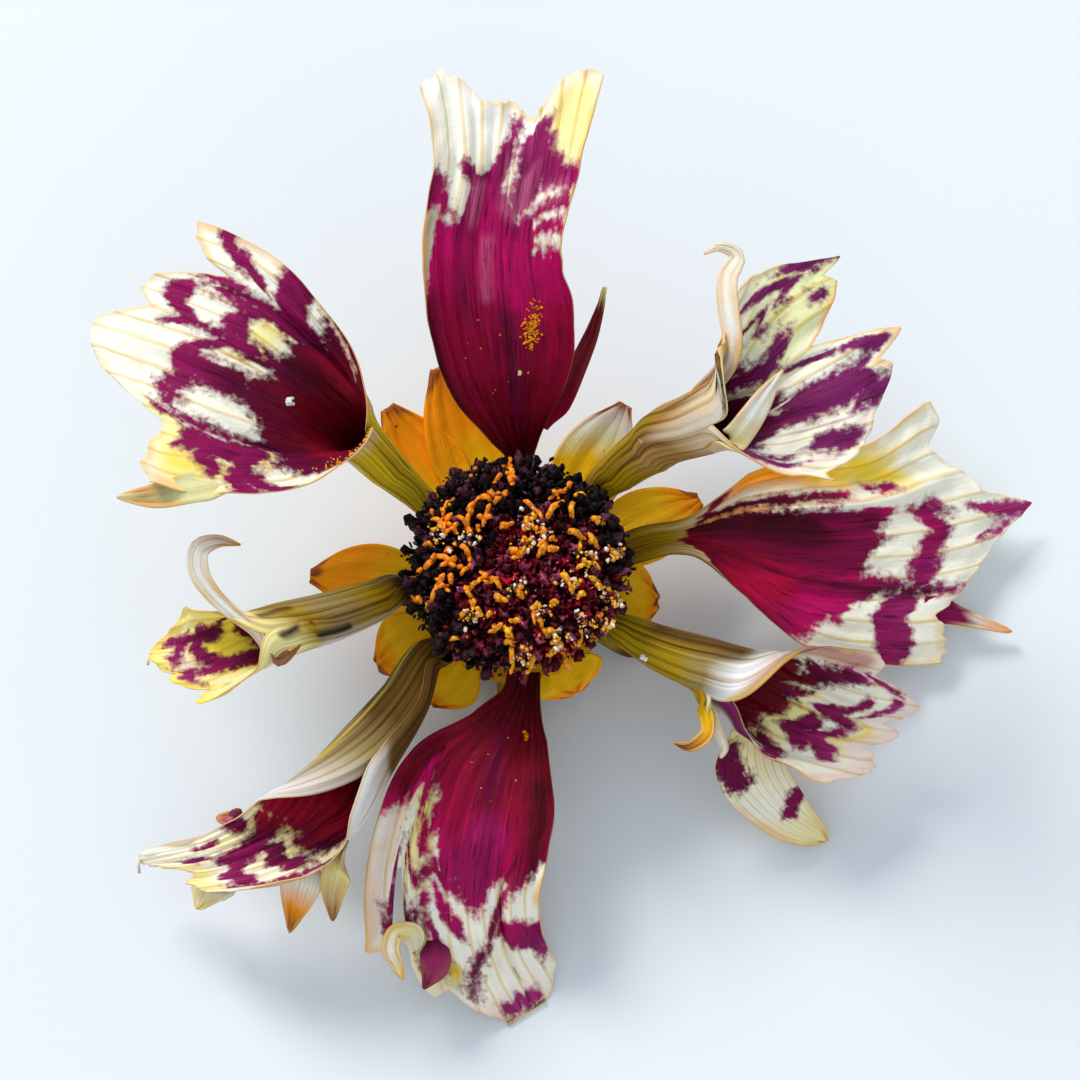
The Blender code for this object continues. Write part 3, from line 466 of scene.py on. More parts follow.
petals = {
    "north": {
        "spine": [(0.1, 3.8, 5.2), (0.1, 5.7, 6.2), (-0.2, 6.6, 7.6), (-0.5, 8.0, 9.4), (-0.8, 10.1, 11.5),
                  (-0.9, 12.6, 13.5), (-0.4, 15.9, 15.0), (0.0, 20.3, 15.6)],
        "halfWidth": [(0.8, 0.8), (0.8, 0.8), (1.4, 1.6), (2.6, 2.9), (3.3, 3.7), (3.5, 3.6), (3.3, 3.6),
                      (4.6, 3.9)],
        "curl": [(90, 90), (80, 80), (55, 55), (50, 50), (50, 50), (55, 60), (30, 45), (10, 20)],
        "lobes": [{"at": 0.72, "half": 0.5, "reach": 0.955, "drop": 0.09},
                  {"at": 0.1, "half": 0.5, "reach": 0.91, "drop": 0.06},
                  {"at": -0.8, "half": 0.5, "reach": 1.0, "drop": 0.12}],
        "veins": 9,
        "folds": [(0.52, 0.22, 0.07, 0.62, 1.0), (0.2, -0.2, 0.06, 0.6, 1.0), (-0.16, 0.2, 0.06, 0.6, 1.0)],
        "limit": [(-1, .635), (-.9, .64), (-.75, .635), (-.6, .62), (-.5, .66), (-.42, .74), (-.3, .76),
                  (-.15, .78), (0, .8), (.1, .82), (.3, .81), (.42, .78), (.5, .69), (.65, .685), (.8, .68),
                  (.9, .6), (1, .58)],
        "marks": [(1, .79, .9, .75, .3, .5), (.9, .75, .68, .7, .4, .2), (.5, .8, .1, .825, .33),
                  (.1, .82, -.12, .97, .42, .14), (-.3, .8, -.33, .93, .55, .5), (-.38, .88, -.55, .8, .42),
                  (-.55, .79, -.8, .775, .36), (-.8, .775, -1, .785, .36), (-.5, .735, -1, .735, .24),
                  (-.55, .69, -1, .685, .22)],
        "cuts": [(-.52, .645, -.9, .65, .22), (.95, .63, .85, .7, .3)],
        "tints": [("butter", -.7, .92, -.9, .86, 1.3), ("butter", -.6, .8, -.9, .76, .3),
                  ("greyOlive", .98, .6, .9, .7, .35)],
        # the rose streaks are partly the petal's own pink and partly painted highlights on its crumpled folds
        "inks": [("rose", .33, .72, .3, .8, .1), ("rose", -.07, .76, -.06, .86, .1),
                 ("rose", -.25, .77, -.3, .85, .15), ("rose", -.45, .765, -.75, .755, .2),
                 ("rose", .12, .55, .1, .68, .04), ("magenta", -.5, .62, -.8, .55, .9),
                 ("deepMaroon", 1, .3, .95, .55, .5), ("inkPurple", .45, .5, .4, .7, .25),
                 ("inkPurple", -.2, .2, -.1, .5, .5)],
        "grains": [("gold", -0.4, 0.45, 0.05, 0.02, 45, 0.06, 1),
                   ("orange", -0.42, 0.47, 0.06, 0.03, 100, 0.055, 1),
                   ("butter", -0.25, 0.36, 0.01, 0.002, 2, 0.11, 1),
                   ("orange", 0.2, 0.42, 0.3, 0.05, 8, 0.04, 1)],
        "creases": [(-.1, .4, -.05, .9, .04), (.25, .45, .3, .85, .03), (-.45, .5, -.4, .8, .03)],
        "dark": innerDark, "ground": [(0, "cream"), (0.8, "cream"), (1, "milk")], "back": flatBack,
        "strips": [{"root": (0.18, -0.95), "facing": (-0.8, -0.2, 0.6),
                    "spine": [(2.0, 7.4, 9.0), (2.8, 8.7, 10.2), (3.4, 10.0, 11.2), (3.8, 11.3, 12.2)],
                    "worn": 0.1, "halfWidth": [0.5, 0.6, 0.55, 0.4, 0.1],
                    "ground": [(0, "berry"), (0.9, "maroon"), (1, "butter")],
                    "back": [(0, "berry"), (0.9, "berry"), (1, "butter")]}],
    },
    "northwest": {
        "spine": [(-2.9, 2.5, 5.2), (-4.4, 3.7, 5.9), (-6.1, 4.7, 7.6), (-7.7, 5.5, 10.1),
                  (-9.5, 6.3, 12.3), (-11.9, 7.4, 13.4), (-14.8, 8.8, 13.2), (-18.1, 10.1, 12.4)],
        "halfWidth": [(0.9, 0.9), (1.4, 1.4), (2.0, 2.0), (2.6, 2.6), (5.0, 3.7), (6.4, 4.8), (6.9, 5.2),
                      (6.9, 5.2)],
        "curl": [(90, 90), (150, 150), (150, 150), (128, 128), (45, 45), (20, 20), (10, 10), (0, 0)],
        "lobes": [{"at": -0.97, "half": 0.3, "reach": 0.87, "drop": 0.1},
                  {"at": -0.35, "half": 0.28, "reach": 0.92, "drop": 0.13},
                  {"at": 0.08, "half": 0.28, "reach": 0.99, "drop": 0.1},
                  {"at": 0.66, "half": 0.35, "reach": 0.74, "drop": 0.05}],
        "mouth": [(0.37, 0.50), (0.37, 0.50)], "veins": 15,
        "folds": [(-0.62, -0.35, 0.06, 0.4, 0.9), (0.5, -0.3, 0.05, 0.45, 0.95),
                  (0.1, 0.15, 0.08, 0.4, 1.0)],
        "limit": [(-1, .64), (-.85, .64), (-.72, .66), (-.62, .7), (-.5, .66), (-.4, .62), (-.3, .64),
                  (-.2, .67), (-.1, .62), (0, .62), (.12, .66), (.25, .62), (.33, .61), (.45, .66),
                  (.55, .7), (.75, .68), (.9, .62), (1, .58)],
        "marks": [(.12, .64, .1, .78, .45), (.2, .775, -.1, .775, .32), (-.1, .77, -.32, .78, .36),
                  (-.2, .66, -.2, .87, .4, .12), (-.27, .75, -.4, .77, .4), (-.5, .76, -.55, .9, .3, .15),
                  (-.57, .68, -.62, .98, .38, .12), (-.68, .75, -1, .72, .95, .7),
                  (-.66, .66, -.66, .8, .4), (-.75, .85, -.85, .88, .3), (-.82, .9, -.95, .92, .35),
                  (-.22, .9, -.42, .93, .5), (.2, .77, .4, .87, .3, .16), (.5, .6, .45, .95, .2, .08),
                  (.62, .75, .58, .93, .5, .35), (.7, .87, .76, .84, .35), (.72, .77, .98, .79, .45),
                  (.85, .75, 1, .73, .4), (.65, .66, .9, .62, .5)],
        "cuts": [(-.24, .7, -.3, .715, .16), (-1, .645, -.86, .54, .16)],
        "tints": [("butter", .9, .9, .6, .95, 1.0), ("butter", -.5, .7, -.2, .7, .8),
                  ("orange", -1, .62, -.9, .55, .12), ("yellow", .78, .93, .8, .8, .4),
                  ("yellow", .68, .72, .6, .72, .3)],
        "inks": [("deepMaroon", -.4, .5, -.3, .62, .4), ("crimson", .5, .5, .62, .6, .4),
                 ("crimson", -.6, .5, -.6, .62, .4)],
        "stains": [("ash", 0, .3, 0, .5, .45), ("milk", .35, .35, .3, .5, .25)],
        "grains": [("orange", 0.93, 0.62, 0.05, 0.02, 45, 0.05, 1),
                   ("gold", 0.96, 0.6, 0.03, 0.015, 25, 0.05, 1),
                   ("milk", 0.05, 0.545, 0.015, 0.004, 7, 0.14, 1)],
        "creases": [(-.62, .42, -.6, .93, .04), (.48, .45, .53, .82, .04), (-.05, .6, -.1, .9, .02)],
        "dark": [(0.0, "maroon"), (0.5, "maroon"), (0.66, "inkPurple"), (0.8, "purple"), (1.0, "purple")],
        "ground": [(0, "cream"), (1, "cream")],
        "back": [(0, "darkOlive"), (0.05, "olive"), (0.13, "mossYellow"), (0.5, "mossYellow"),
                 (0.58, "beige"), (0.68, "butter"), (1, "cream")],
        "strips": [{"root": (0.8, 0.9), "facing": upward,
                    "spine": [(-13.6, 1.8, 14.4), (-15.2, 1.6, 13.8), (-16.8, 1.7, 13.2)],
                    "halfWidth": [0.7, 0.7, 0.55, 0.2],
                    "ground": [(0, "butter"), (0.4, "lemonCream"), (0.75, "greyOlive"), (1, "lemonCream")],
                    "back": [(0, "beige"), (1, "cream")]}],
    },
    "west": {
        "spine": [(-3.8, -0.3, 5.2), (-5.1, -0.2, 6.0), (-6.7, -1.1, 7.7), (-8.4, -2.0, 8.8),
                  (-10.1, -2.8, 9.2), (-11.8, -3.6, 9.0), (-13.5, -4.1, 8.1), (-15.8, -4.0, 6.8)],
        "halfWidth": [(0.9, 0.9), (1.4, 1.4), (2.1, 2.1), (2.5, 2.5), (2.8, 2.9), (2.4, 2.7), (2.0, 2.4),
                      (1.6, 1.8)],
        "curl": [(90, 90), (150, 150), (150, 150), (150, 150), (150, 150), (95, 105), (40, 40), (10, 10)],
        "lobes": [{"at": -0.25, "half": 0.6, "reach": 1.0, "drop": 0.12},
                  {"at": 0.4, "half": 0.3, "reach": 0.92, "drop": 0.12},
                  {"at": 0.9, "half": 0.3, "reach": 0.84, "drop": 0.12}],
        "mouth": [(0.55, 0.66), (0.55, 0.66)], "roll": [50, 50, 50, 45, 30, 10, 0, 0], "veins": 8,
        "limit": [(-1, .66), (-.4, .655), (0, .64), (.3, .655), (.6, .67), (1, .68)],
        "marks": [(.3, .655, -.2, .655, .18), (.42, .69, .3, .78, .35), (.3, .78, 0, .82, .38),
                  (0, .82, -.3, .82, .42), (-.35, .74, -.42, .8, .35), (-.4, .8, -.44, .95, .22),
                  (.3, .8, .25, .96, .3, .18), (-.05, .93, -.25, .9, .25), (.42, .93, .35, .94, .25),
                  (-.45, .73, -.7, .7, .18)],
        "tints": [("yellow", .1, .73, -.1, .73, 1.0), ("pinkCream", .1, .89, -.25, .89, .4),
                  ("lemonCream", .8, .8, .8, .9, .5)],
        "stains": [("ash", .6, .3, .6, .58, .4), ("greyOlive", .1, .3, .1, .5, .5),
                   ("soot", .93, .645, .9, .69, .09), ("soot", .86, .5, .82, .6, .1),
                   ("bark", -.62, .56, -.7, .64, .08), ("soot", .3, .5, .3, .56, .05)],
        "dark": [(0.0, "deepMaroon"), (0.62, "maroon"), (0.72, "inkPurple"), (0.85, "purple"),
                 (1.0, "dustyPurple")],
        "ground": [(0, "sulphur"), (0.75, "sulphur"), (0.9, "butter"), (1, "sulphur")],
        "back": [(0, "darkOlive"), (0.24, "mud"), (0.36, "olive"), (0.5, "greyOlive"), (0.6, "olive"),
                 (0.68, "butter"), (1, "butter")],
        "strips": [{"root": (0.6, 0.96), "facing": (-0.3, -0.5, 0.8),
                    "spine": [(-10.2, -4.65, 10.6), (-11.0, -3.6, 11.2), (-12.1, -2.75, 11.5),
                              (-12.85, -2.05, 11.8), (-13.4, -1.15, 12.2), (-13.3, -0.35, 12.6),
                              (-12.6, -0.08, 12.8), (-11.6, -0.26, 12.8)],
                    "halfWidth": [0.35, 0.35, 0.3, 0.35, 0.4, 0.5, 0.5, 0.4, 0.15],
                    "ground": [(0, "rust"), (0.2, "beige"), (0.5, "milk"), (0.8, "milk"), (1, "rust")],
                    "back": [(0, "rust"), (1, "beige")]}],
    },
    "northeast": {
        "spine": [(2.4, 2.7, 5.1), (3.5, 3.8, 6.0), (5.1, 4.4, 8.0), (6.8, 4.7, 10.5), (8.6, 4.9, 13.0),
                  (10.7, 5.7, 14.2), (12.9, 7.0, 14.4), (16.3, 9.2, 13.8)],
        "halfWidth": [(0.9, 0.9), (1.4, 1.4), (2.1, 2.1), (2.8, 2.8), (3.5, 3.3), (4.4, 4.3), (6.2, 6.0),
                      (6.4, 6.0)],
        "curl": [(90, 90), (150, 150), (150, 150), (150, 150), (120, 112), (40, 32), (15, 12), (0, 10)],
        "lobes": [{"at": 0.6, "half": 0.2, "reach": 0.98, "drop": 0.2, "power": 1.0},
                  {"at": 0.46, "half": 0.28, "reach": 0.945, "drop": 0.13, "power": 1.2},
                  {"at": -0.03, "half": 0.2, "reach": 1.0, "drop": 0.2, "power": 1.3},
                  {"at": -0.22, "half": 0.3, "reach": 0.93, "drop": 0.11, "power": 1.0},
                  {"at": -1.0, "half": 0.25, "reach": 0.69, "drop": 0.03}],
        "mouth": [(0.6, 0.69), (0.55, 0.65)], "veins": 12,
        "folds": [(0.12, -0.25, 0.05, 0.6, 1.0), (-0.2, 0.2, 0.06, 0.6, 1.0)],
        "limit": [(-1, .8), (-.9, .8), (-.7, .78), (-.5, .74), (-.3, .7), (0, .7), (.12, .71), (.3, .71),
                  (.45, .69), (.6, .67), (1, .65)],
        "marks": [(-.2, .68, -.2, .93, .65, .5), (-.3, .7, -.55, .72, .7, .4), (-.55, .88, -.6, .96, .35),
                  (-.75, .79, -.72, .85, .22), (-.98, .74, -.84, .9, .5, .3), (.74, .88, .62, .86, .35),
                  (.6, .85, .58, .87, .3), (.64, .93, .66, 1, .2), (.43, .93, .42, .96, .14),
                  (.66, .745, .52, .785, .22), (.34, .82, .28, .86, .3), (.3, .68, .26, .84, .35),
                  (.09, .885, .09, .9, .28), (-.01, .91, -.03, .95, .32), (-.3, .93, -.33, 1, .4, .2)],
        "cuts": [(-.15, .715, -.12, .73, .22), (-.42, .84, -.46, .87, .2)],
        "tints": [("lemonCream", .4, .85, .5, .95, 1.4), ("lemonCream", .8, .75, .6, .75, .8),
                  ("pinkCream", -.95, .9, -.5, .97, .5)],
        "stains": [("tan", .3, .4, .1, .6, .6), ("dustyRose", -.1, .5, -.2, .62, .3),
                   ("olive", .9, .2, .8, .6, .5), ("soot", .72, .61, .69, .655, .09),
                   ("soot", .64, .66, .6, .665, .07)],
        "creases": [(.12, .68, .14, .93, .03), (-.4, .7, -.42, .95, .03)], "dark": rolledDark,
        "ground": [(0, "cream"), (1, "cream")],
        "back": [(0, "darkOlive"), (0.2, "olive"), (0.38, "olive"), (0.5, "tan"), (0.66, "tan"),
                 (0.74, "beige"), (1, "cream")],
        "strips": [{"root": (0.6, 0.93), "facing": (-0.4, -0.5, 0.7),
                    "spine": [(9.1, 7.6, 16.7), (8.9, 8.9, 17.0), (8.9, 10.3, 17.0), (9.3, 11.2, 16.9),
                              (8.6, 11.6, 16.9), (7.9, 11.3, 16.8)],
                    "halfWidth": [0.5, 0.45, 0.5, 0.5, 0.4, 0.3, 0.1],
                    "ground": [(0, "butter"), (0.3, "beige"), (0.6, "milk"), (1, "cream")],
                    "back": [(0, "beige"), (1, "pinkCream")]},
                   {"root": (0.7, -0.62), "lower": 0.12, "facing": (0.3, -0.5, 0.85),
                    "spine": [(9.0, 3.45, 15.6), (9.75, 4.2, 16.3), (10.5, 5.3, 16.6), (11.15, 6.3, 16.5)],
                    "halfWidth": [0.5, 0.62, 0.6, 0.42, 0.12],
                    "ground": [(0, "mossYellow"), (0.3, "butter"), (0.6, "milk"), (1, "milk")],
                    "back": [(0, "beige"), (1, "cream")]}],
    },
    "east": {
        "spine": [(3.8, 0.9, 5.0), (5.2, 1.6, 5.4), (7.3, 2.0, 5.5), (9.8, 2.0, 5.0), (12.4, 2.0, 3.9),
                  (15.5, 2.3, 3.0), (18.7, 2.8, 2.2), (23.0, 4.3, 1.4)],
        "halfWidth": [(0.8, 0.8), (1.0, 1.0), (1.0, 1.0), (3.0, 2.7), (4.1, 4.4), (4.5, 5.2), (6.0, 5.4),
                      (5.4, 4.6)],
        "curl": [(60, 60), (80, 80), (60, 60), (30, 30), (20, 15), (10, 5), (0, 0), (0, 0)],
        "roll": [0, 0, 0, -4, -12, -16, -16, -14],
        "lobes": [{"at": 0.97, "half": 0.4, "reach": 0.84, "drop": 0.1},
                  {"at": 0.08, "half": 0.15, "reach": 1.0, "drop": 0.07, "power": 1.0},
                  {"at": 0.1, "half": 0.5, "reach": 0.93, "drop": 0.115, "power": 1.6},
                  {"at": -0.8, "half": 0.4, "reach": 0.75, "drop": 0.06}],
        "veins": 11, "folds": [(0.42, 0.3, 0.05, 0.3, 1.0), (-0.45, -0.3, 0.05, 0.45, 1.0)],
        "limit": [(-1, .58), (-.9, .6), (-.8, .62), (-.7, .64), (-.6, .7), (-.5, .74), (-.42, .76),
                  (-.36, .78), (-.3, .7), (-.2, .68), (-.1, .655), (0, .66), (.1, .65), (.2, .67),
                  (.27, .73), (.33, .745), (.38, .7), (.42, .66), (.5, .66), (.58, .68), (.64, .6),
                  (.7, .35), (1, .3)],
        "claw": [(-1, .33), (-.6, .3), (-.3, .22), (0, .18), (.3, .22), (.6, .27), (1, .28)],
        "marks": [(.54, .74, .52, .785, .2), (.28, .86, .2, .79, .22, .3), (.2, .79, .05, .775, .4),
                  (.05, .785, -.15, .81, .42), (-.15, .81, -.3, .86, .42), (-.3, .7, -.43, .99, .26, .1),
                  (-.6, .86, -.8, .86, 1.0), (.15, .92, .04, 1, .35, .2), (-.03, .93, -.06, .98, .12),
                  (-.35, .62, -.55, .7, .8, .5)],
        "cuts": [(.45, .26, .43, .67, .12, .26), (.76, .34, .72, .7, .75), (-.42, .775, -.55, .765, .3)],
        "tints": [("orange", .95, .36, .84, .6, .9), ("gold", .8, .58, .7, .68, .6),
                  ("yellow", .85, .68, .62, .82, .75), ("cream", .97, .88, .9, .97, .8),
                  ("orange", .46, .26, .44, .4, .3)],
        "inks": [("inkPurple", .3, .3, .05, .66, 1.6), ("deepMaroon", .3, .25, .2, .5, .9),
                 ("cerise", -.5, .5, -.8, .4, 1.0), ("magenta", -.4, .66, -.65, .62, .6),
                 ("deepMaroon", .54, .3, .54, .64, .3), ("deepMaroon", -.32, .55, -.4, .9, .18)],
        "creases": [(-.3, .3, -.32, .62, .04), (-.32, .62, -.4, .97, .06), (.5, .3, .5, .66, .03),
                    (.2, .3, .15, .7, .02)],
        "dark": innerDark,
        "ground": [(0, "darkOlive"), (0.16, "olive"), (0.3, "beige"), (0.5, "cream"), (1, "cream")],
        "back": flatBack,
        "strips": [{"root": (0.93, -0.5), "facing": upward, "spine": [(19.5, -0.4, 1.2), (21.9, -1.0, 0.7)],
                    "halfWidth": [0.8, 0.45, 0.15],
                    "ground": [(0, "purple"), (0.45, "purple"), (0.6, "pinkCream"), (1, "orange")],
                    "back": [(0, "beige"), (1, "cream")]}],
    },
    "southeast": {
        "spine": [(3.5, -1.3, 5.3), (4.9, -1.7, 5.3), (6.5, -2.3, 5.3), (8.3, -2.9, 5.0), (10.1, -3.7, 4.6),
                  (12.2, -4.7, 4.0), (14.6, -5.5, 3.4), (18.1, -5.8, 2.5)],
        "halfWidth": [(0.9, 0.9), (1.6, 1.6), (2.3, 2.3), (3.0, 3.0), (3.6, 3.9), (2.9, 3.9), (3.0, 3.4),
                      (2.6, 2.6)],
        "curl": [(90, 90), (150, 150), (150, 150), (150, 150), (128, 128), (60, 60), (25, 25), (10, 10)],
        "lobes": [{"at": 0.85, "half": 0.3, "reach": 0.84, "drop": 0.1},
                  {"at": 0.3, "half": 0.32, "reach": 0.97, "drop": 0.12},
                  {"at": -0.15, "half": 0.25, "reach": 0.9, "drop": 0.12},
                  {"at": -0.6, "half": 0.35, "reach": 0.84, "drop": 0.1}],
        "mouth": [(0.36, 0.5), (0.36, 0.5)], "roll": [-60, -60, -60, -50, -35, -10, 0, 0], "veins": 9,
        "folds": [(0.3, 0.25, 0.06, 0.5, 1.0), (-0.25, -0.2, 0.06, 0.5, 1.0)],
        "limit": [(-1, .58), (-.66, .63), (-.5, .65), (-.3, .66), (-.2, .64), (0, .65), (.1, .62), (.2, .6),
                  (1, .58)],
        "marks": [(.47, .66, .5, .68, .45), (.46, .68, .64, .88, .3, .22), (.02, .56, .03, .68, .3),
                  (.2, .58, .44, .7, .4, .25), (-.02, .78, -.02, .84, .3, .45), (.2, .84, 0, .84, .3),
                  (-.28, .74, -.42, .78, .48), (-.35, .83, -.5, .86, .45), (-.62, .66, -.98, .8, .3, .2),
                  (-.9, .56, -.95, .7, .3), (.56, .95, .5, .96, .3), (.3, .93, .1, .91, .2)],
        "tints": [("butter", -.1, .68, -.5, .68, .9), ("pinkCream", .5, 1, .2, .98, .8),
                  ("rust", .95, .62, .9, .84, .3), ("dustyRose", .95, .62, .82, .9, .7),
                  ("yellow", -.1, .9, -.4, .9, .3)],
        "inks": [("maroon", -.3, .55, -.5, .6, .9), ("inkPurple", .45, .66, .6, .8, .5)],
        "stains": [("mud", .35, .2, .4, .42, .5), ("mossYellow", -.6, .1, -.7, .46, .15),
                   ("greyOlive", -.2, .3, -.3, .42, .4), ("violet", -1, .5, -1, .85, .75),
                   ("dustyRose", 1, .55, .95, .85, .6), ("bark", 1, .6, 1, .8, .1),
                   ("yellow", .96, .5, 1, .62, .1)],
        "grains": [("milk", 0.86, 0.2, 0.004, 0.002, 5, 0.1, -1)],
        "creases": [(.62, .6, .6, .88, .04), (-.1, .6, -.15, .85, .03)],
        "dark": [(0.0, "deepMaroon"), (0.45, "maroon"), (0.6, "maroon"), (0.66, "inkPurple"),
                 (0.8, "purple"), (1.0, "dustyPurple")],
        "ground": [(0, "butter"), (0.7, "cream"), (0.9, "cream"), (1, "pinkCream")],
        "back": [(0, "darkOlive"), (0.1, "olive"), (0.3, "olive"), (0.4, "greyOlive"), (0.5, "frost"),
                 (0.6, "pinkCream"), (1, "pinkCream")],
        "strips": [{"root": (0.62, -0.55), "lower": 0.12, "facing": (-0.2, -0.2, 0.9),
                    "spine": [(10.3, -8.0, 3.4), (11.7, -9.5, 1.9), (13.6, -10.4, 0.5)],
                    "halfWidth": [1.9, 1.6, 1.2, 0.7],
                    "marks": [(-.75, .15, -.5, .3, .5), (.9, .6, .2, .66, .35)],
                    "dark": [(0, "inkPurple"), (1, "purple")],
                    "ground": [(0, "butter"), (0.5, "cream"), (1, "butter")],
                    "back": [(0, "butter"), (1, "beige")]},
                   {"root": (0.42, -0.97), "facing": (-0.3, -0.5, 0.8),
                    "spine": [(8.1, -6.9, 5.6), (7.4, -7.3, 5.5), (6.8, -7.1, 5.4)],
                    "halfWidth": [0.3, 0.3, 0.24, 0.08],
                    "ground": [(0, "mossYellow"), (0.5, "gold"), (0.85, "rust"), (1, "bark")],
                    "back": [(0, "olive"), (1, "orange")]},
                   {"root": (0.46, -0.97), "facing": (0.3, -0.5, 0.8),
                    "spine": [(8.8, -6.9, 5.3), (9.0, -7.3, 5.1), (8.8, -7.7, 5.0)],
                    "halfWidth": [0.25, 0.22, 0.18, 0.1], "ground": [(0, "butter"), (1, "milk")],
                    "back": [(0, "butter"), (1, "milk")]}],
    },
    "south": {
        "spine": [(0.3, -3.9, 5.0), (0.2, -4.8, 5.0), (-0.4, -6.4, 5.0), (-1.3, -8.7, 5.0),
                  (-1.9, -11.3, 4.6), (-2.1, -13.7, 3.5), (-1.7, -16.1, 1.8), (-0.4, -18.4, 0.1)],
        "halfWidth": [(0.8, 0.8), (0.9, 0.9), (1.9, 1.7), (3.1, 3.6), (3.4, 4.3), (3.1, 4.5), (3.1, 4.6),
                      (3.2, 3.8)],
        "curl": [(60, 60), (50, 50), (30, 30), (20, 20), (20, 20), (15, 15), (10, 10), (0, 0)],
        "lobes": [{"at": 0.4, "half": 0.55, "reach": 1.0, "drop": 0.055, "power": 3.5},
                  {"at": -0.33, "half": 0.24, "reach": 0.84, "drop": 0.05, "power": 8},
                  {"at": -0.68, "half": 0.3, "reach": 0.54, "drop": 0.01},
                  {"at": -0.89, "half": 0.15, "reach": 0.73, "drop": 0.06, "power": 8}],
        "veins": 10,
        "folds": [(0.42, -0.35, 0.06, 0.45, 1.0), (-0.5, -0.3, 0.06, 0.4, 0.9), (0.1, 0.3, 0.1, 0.4, 0.9)],
        "limit": [(-1, .6), (-.9, .58), (-.8, .56), (-.76, .53), (-.72, .66), (-.62, .64), (-.57, .48),
                  (-.5, .42), (-.45, .5), (-.42, .56), (-.35, .56), (-.3, .62), (-.2, .62), (-.1, .62),
                  (.1, .655), (.2, .64), (.3, .6), (.4, .56), (.5, .56), (.6, .6), (.75, .585), (.9, .54),
                  (1, .52)],
        "marks": [(-.5, .52, -.47, .6, .2), (-.1, .62, -.32, .635, .25), (-.32, .635, -.56, .7, .2),
                  (.98, .93, .88, .8, .35, .6), (.88, .8, .62, .74, .6), (.62, .745, .46, .72, .45, .35),
                  (-.25, .69, -.24, .72, .3), (-.12, .715, -.11, .74, .22), (-.42, .73, -.42, .75, .12),
                  (-.6, .9, -.5, .775, .12, .15), (-.5, .775, -.36, .82, .15),
                  (-.36, .82, -.31, .86, .2, .3), (.6, .56, .3, .72, .17), (.3, .72, -.02, .83, .15),
                  (-.02, .83, -.2, .95, .14, .1), (-.76, .93, -.76, .87, .2), (.52, .965, .1, .975, .3),
                  (-.3, .88, -.4, .93, .35)],
        "cuts": [(-.5, .44, -.5, .5, .2), (-.4, .57, -.34, .6, .2)],
        "tints": [("pinkCream", -.75, .55, -.95, .9, .5), ("butter", -.55, .55, -.6, .7, .6),
                  ("yellow", -.53, .45, -.56, .55, .3), ("pinkCream", .5, .97, 0, .98, .8),
                  ("butter", -.45, .86, -.5, .95, .5)],
        "inks": [("purple", .2, .45, 0, .6, 1.0), ("deepMaroon", .8, .3, .85, .55, .7),
                 ("bark", .6, .56, .3, .72, .1), ("bark", .3, .72, -.2, .94, .12),
                 ("inkPurple", 0, .2, .1, .35, .5), ("maroon", -.7, .3, -.85, .5, .6),
                 ("inkPurple", -.6, .9, -.5, .775, .3), ("inkPurple", -.3, .63, -.5, .68, .3)],
        "grains": [("orange", 0.46, 0.16, 0.03, 0.006, 16, 0.07, 1),
                   ("gold", 0.1, 0.3, 0.3, 0.05, 6, 0.04, 1)],
        "creases": [(.6, .5, .3, .72, .05), (.3, .72, -.02, .83, .06), (-.02, .83, -.2, .95, .05),
                    (-.52, .35, -.5, .62, .03), (.15, .3, .1, .6, .02)],
        "dark": innerDark, "ground": [(0, "cream"), (1, "cream")], "back": flatBack,
        "strips": [{"root": (0.88, -0.52), "facing": (0.3, -0.5, 0.8),
                    "spine": [(-4.6, -15.1, 3.9), (-5.2, -15.25, 4.4), (-5.4, -15.9, 4.2),
                              (-5.15, -16.5, 3.8), (-4.85, -17.1, 3.5)],
                    "halfWidth": [0.5, 0.45, 0.4, 0.4, 0.34, 0.14],
                    "ground": [(0, "cream"), (0.4, "butter"), (0.7, "milk"), (1, "yellow")],
                    "back": [(0, "butter"), (1, "orange")]},
                   {"root": (0.86, -0.36), "facing": upward, "lower": -0.1,
                    "spine": [(-3.5, -16.4, 3.0), (-4.0, -17.4, 2.8)], "worn": 0.1,
                    "halfWidth": [0.6, 0.65, 0.15],
                    "ground": [(0, "inkPurple"), (0.4, "dustyPurple"), (0.8, "purple"), (1, "inkPurple")],
                    "back": [(0, "cream"), (1, "purple")]},
                   {"root": (0.93, -0.3), "facing": upward,
                    "spine": [(-2.8, -16.6, 2.2), (-2.75, -17.1, 1.9)], "halfWidth": [0.5, 0.45, 0.3],
                    "ground": [(0, "butter"), (0.5, "yellow"), (1, "butter")],
                    "back": [(0, "butter"), (1, "cream")]}],
    },
    "southwest": {
        "spine": [(-2.8, -2.4, 5.1), (-4.1, -2.8, 5.4), (-5.7, -5.1, 5.9), (-7.3, -7.4, 6.3),
                  (-8.5, -9.4, 6.3), (-10.0, -11.0, 5.6), (-12.4, -12.0, 4.5), (-16.3, -12.4, 3.2)],
        "halfWidth": [(0.9, 0.9), (1.8, 1.8), (2.7, 2.7), (3.4, 3.4), (3.7, 3.6), (2.6, 2.0), (1.9, 1.4),
                      (1.4, 1.0)],
        "curl": [(90, 90), (150, 150), (150, 150), (150, 150), (128, 128), (60, 60), (25, 25), (10, 10)],
        "lobes": [{"at": -0.6, "half": 0.5, "reach": 1.0, "drop": 0.06},
                  {"at": 0.4, "half": 0.4, "reach": 0.88, "drop": 0.06}],
        "mouth": [(0.33, 0.47), (0.35, 0.49)], "roll": [60, 60, 60, 50, 30, 10, 0, 0], "veins": 10,
        "folds": [(0.0, 0.2, 0.08, 0.5, 1.0)],
        "limit": [(-1, .62), (-.5, .63), (-.2, .64), (0, .67), (.15, .7), (.3, .71), (.45, .7), (.6, .7),
                  (.75, .7), (1, .72)],
        "marks": [(.62, .755, .1, .77, .42), (.58, .875, .2, .875, .5), (.15, .88, -.05, .77, .42),
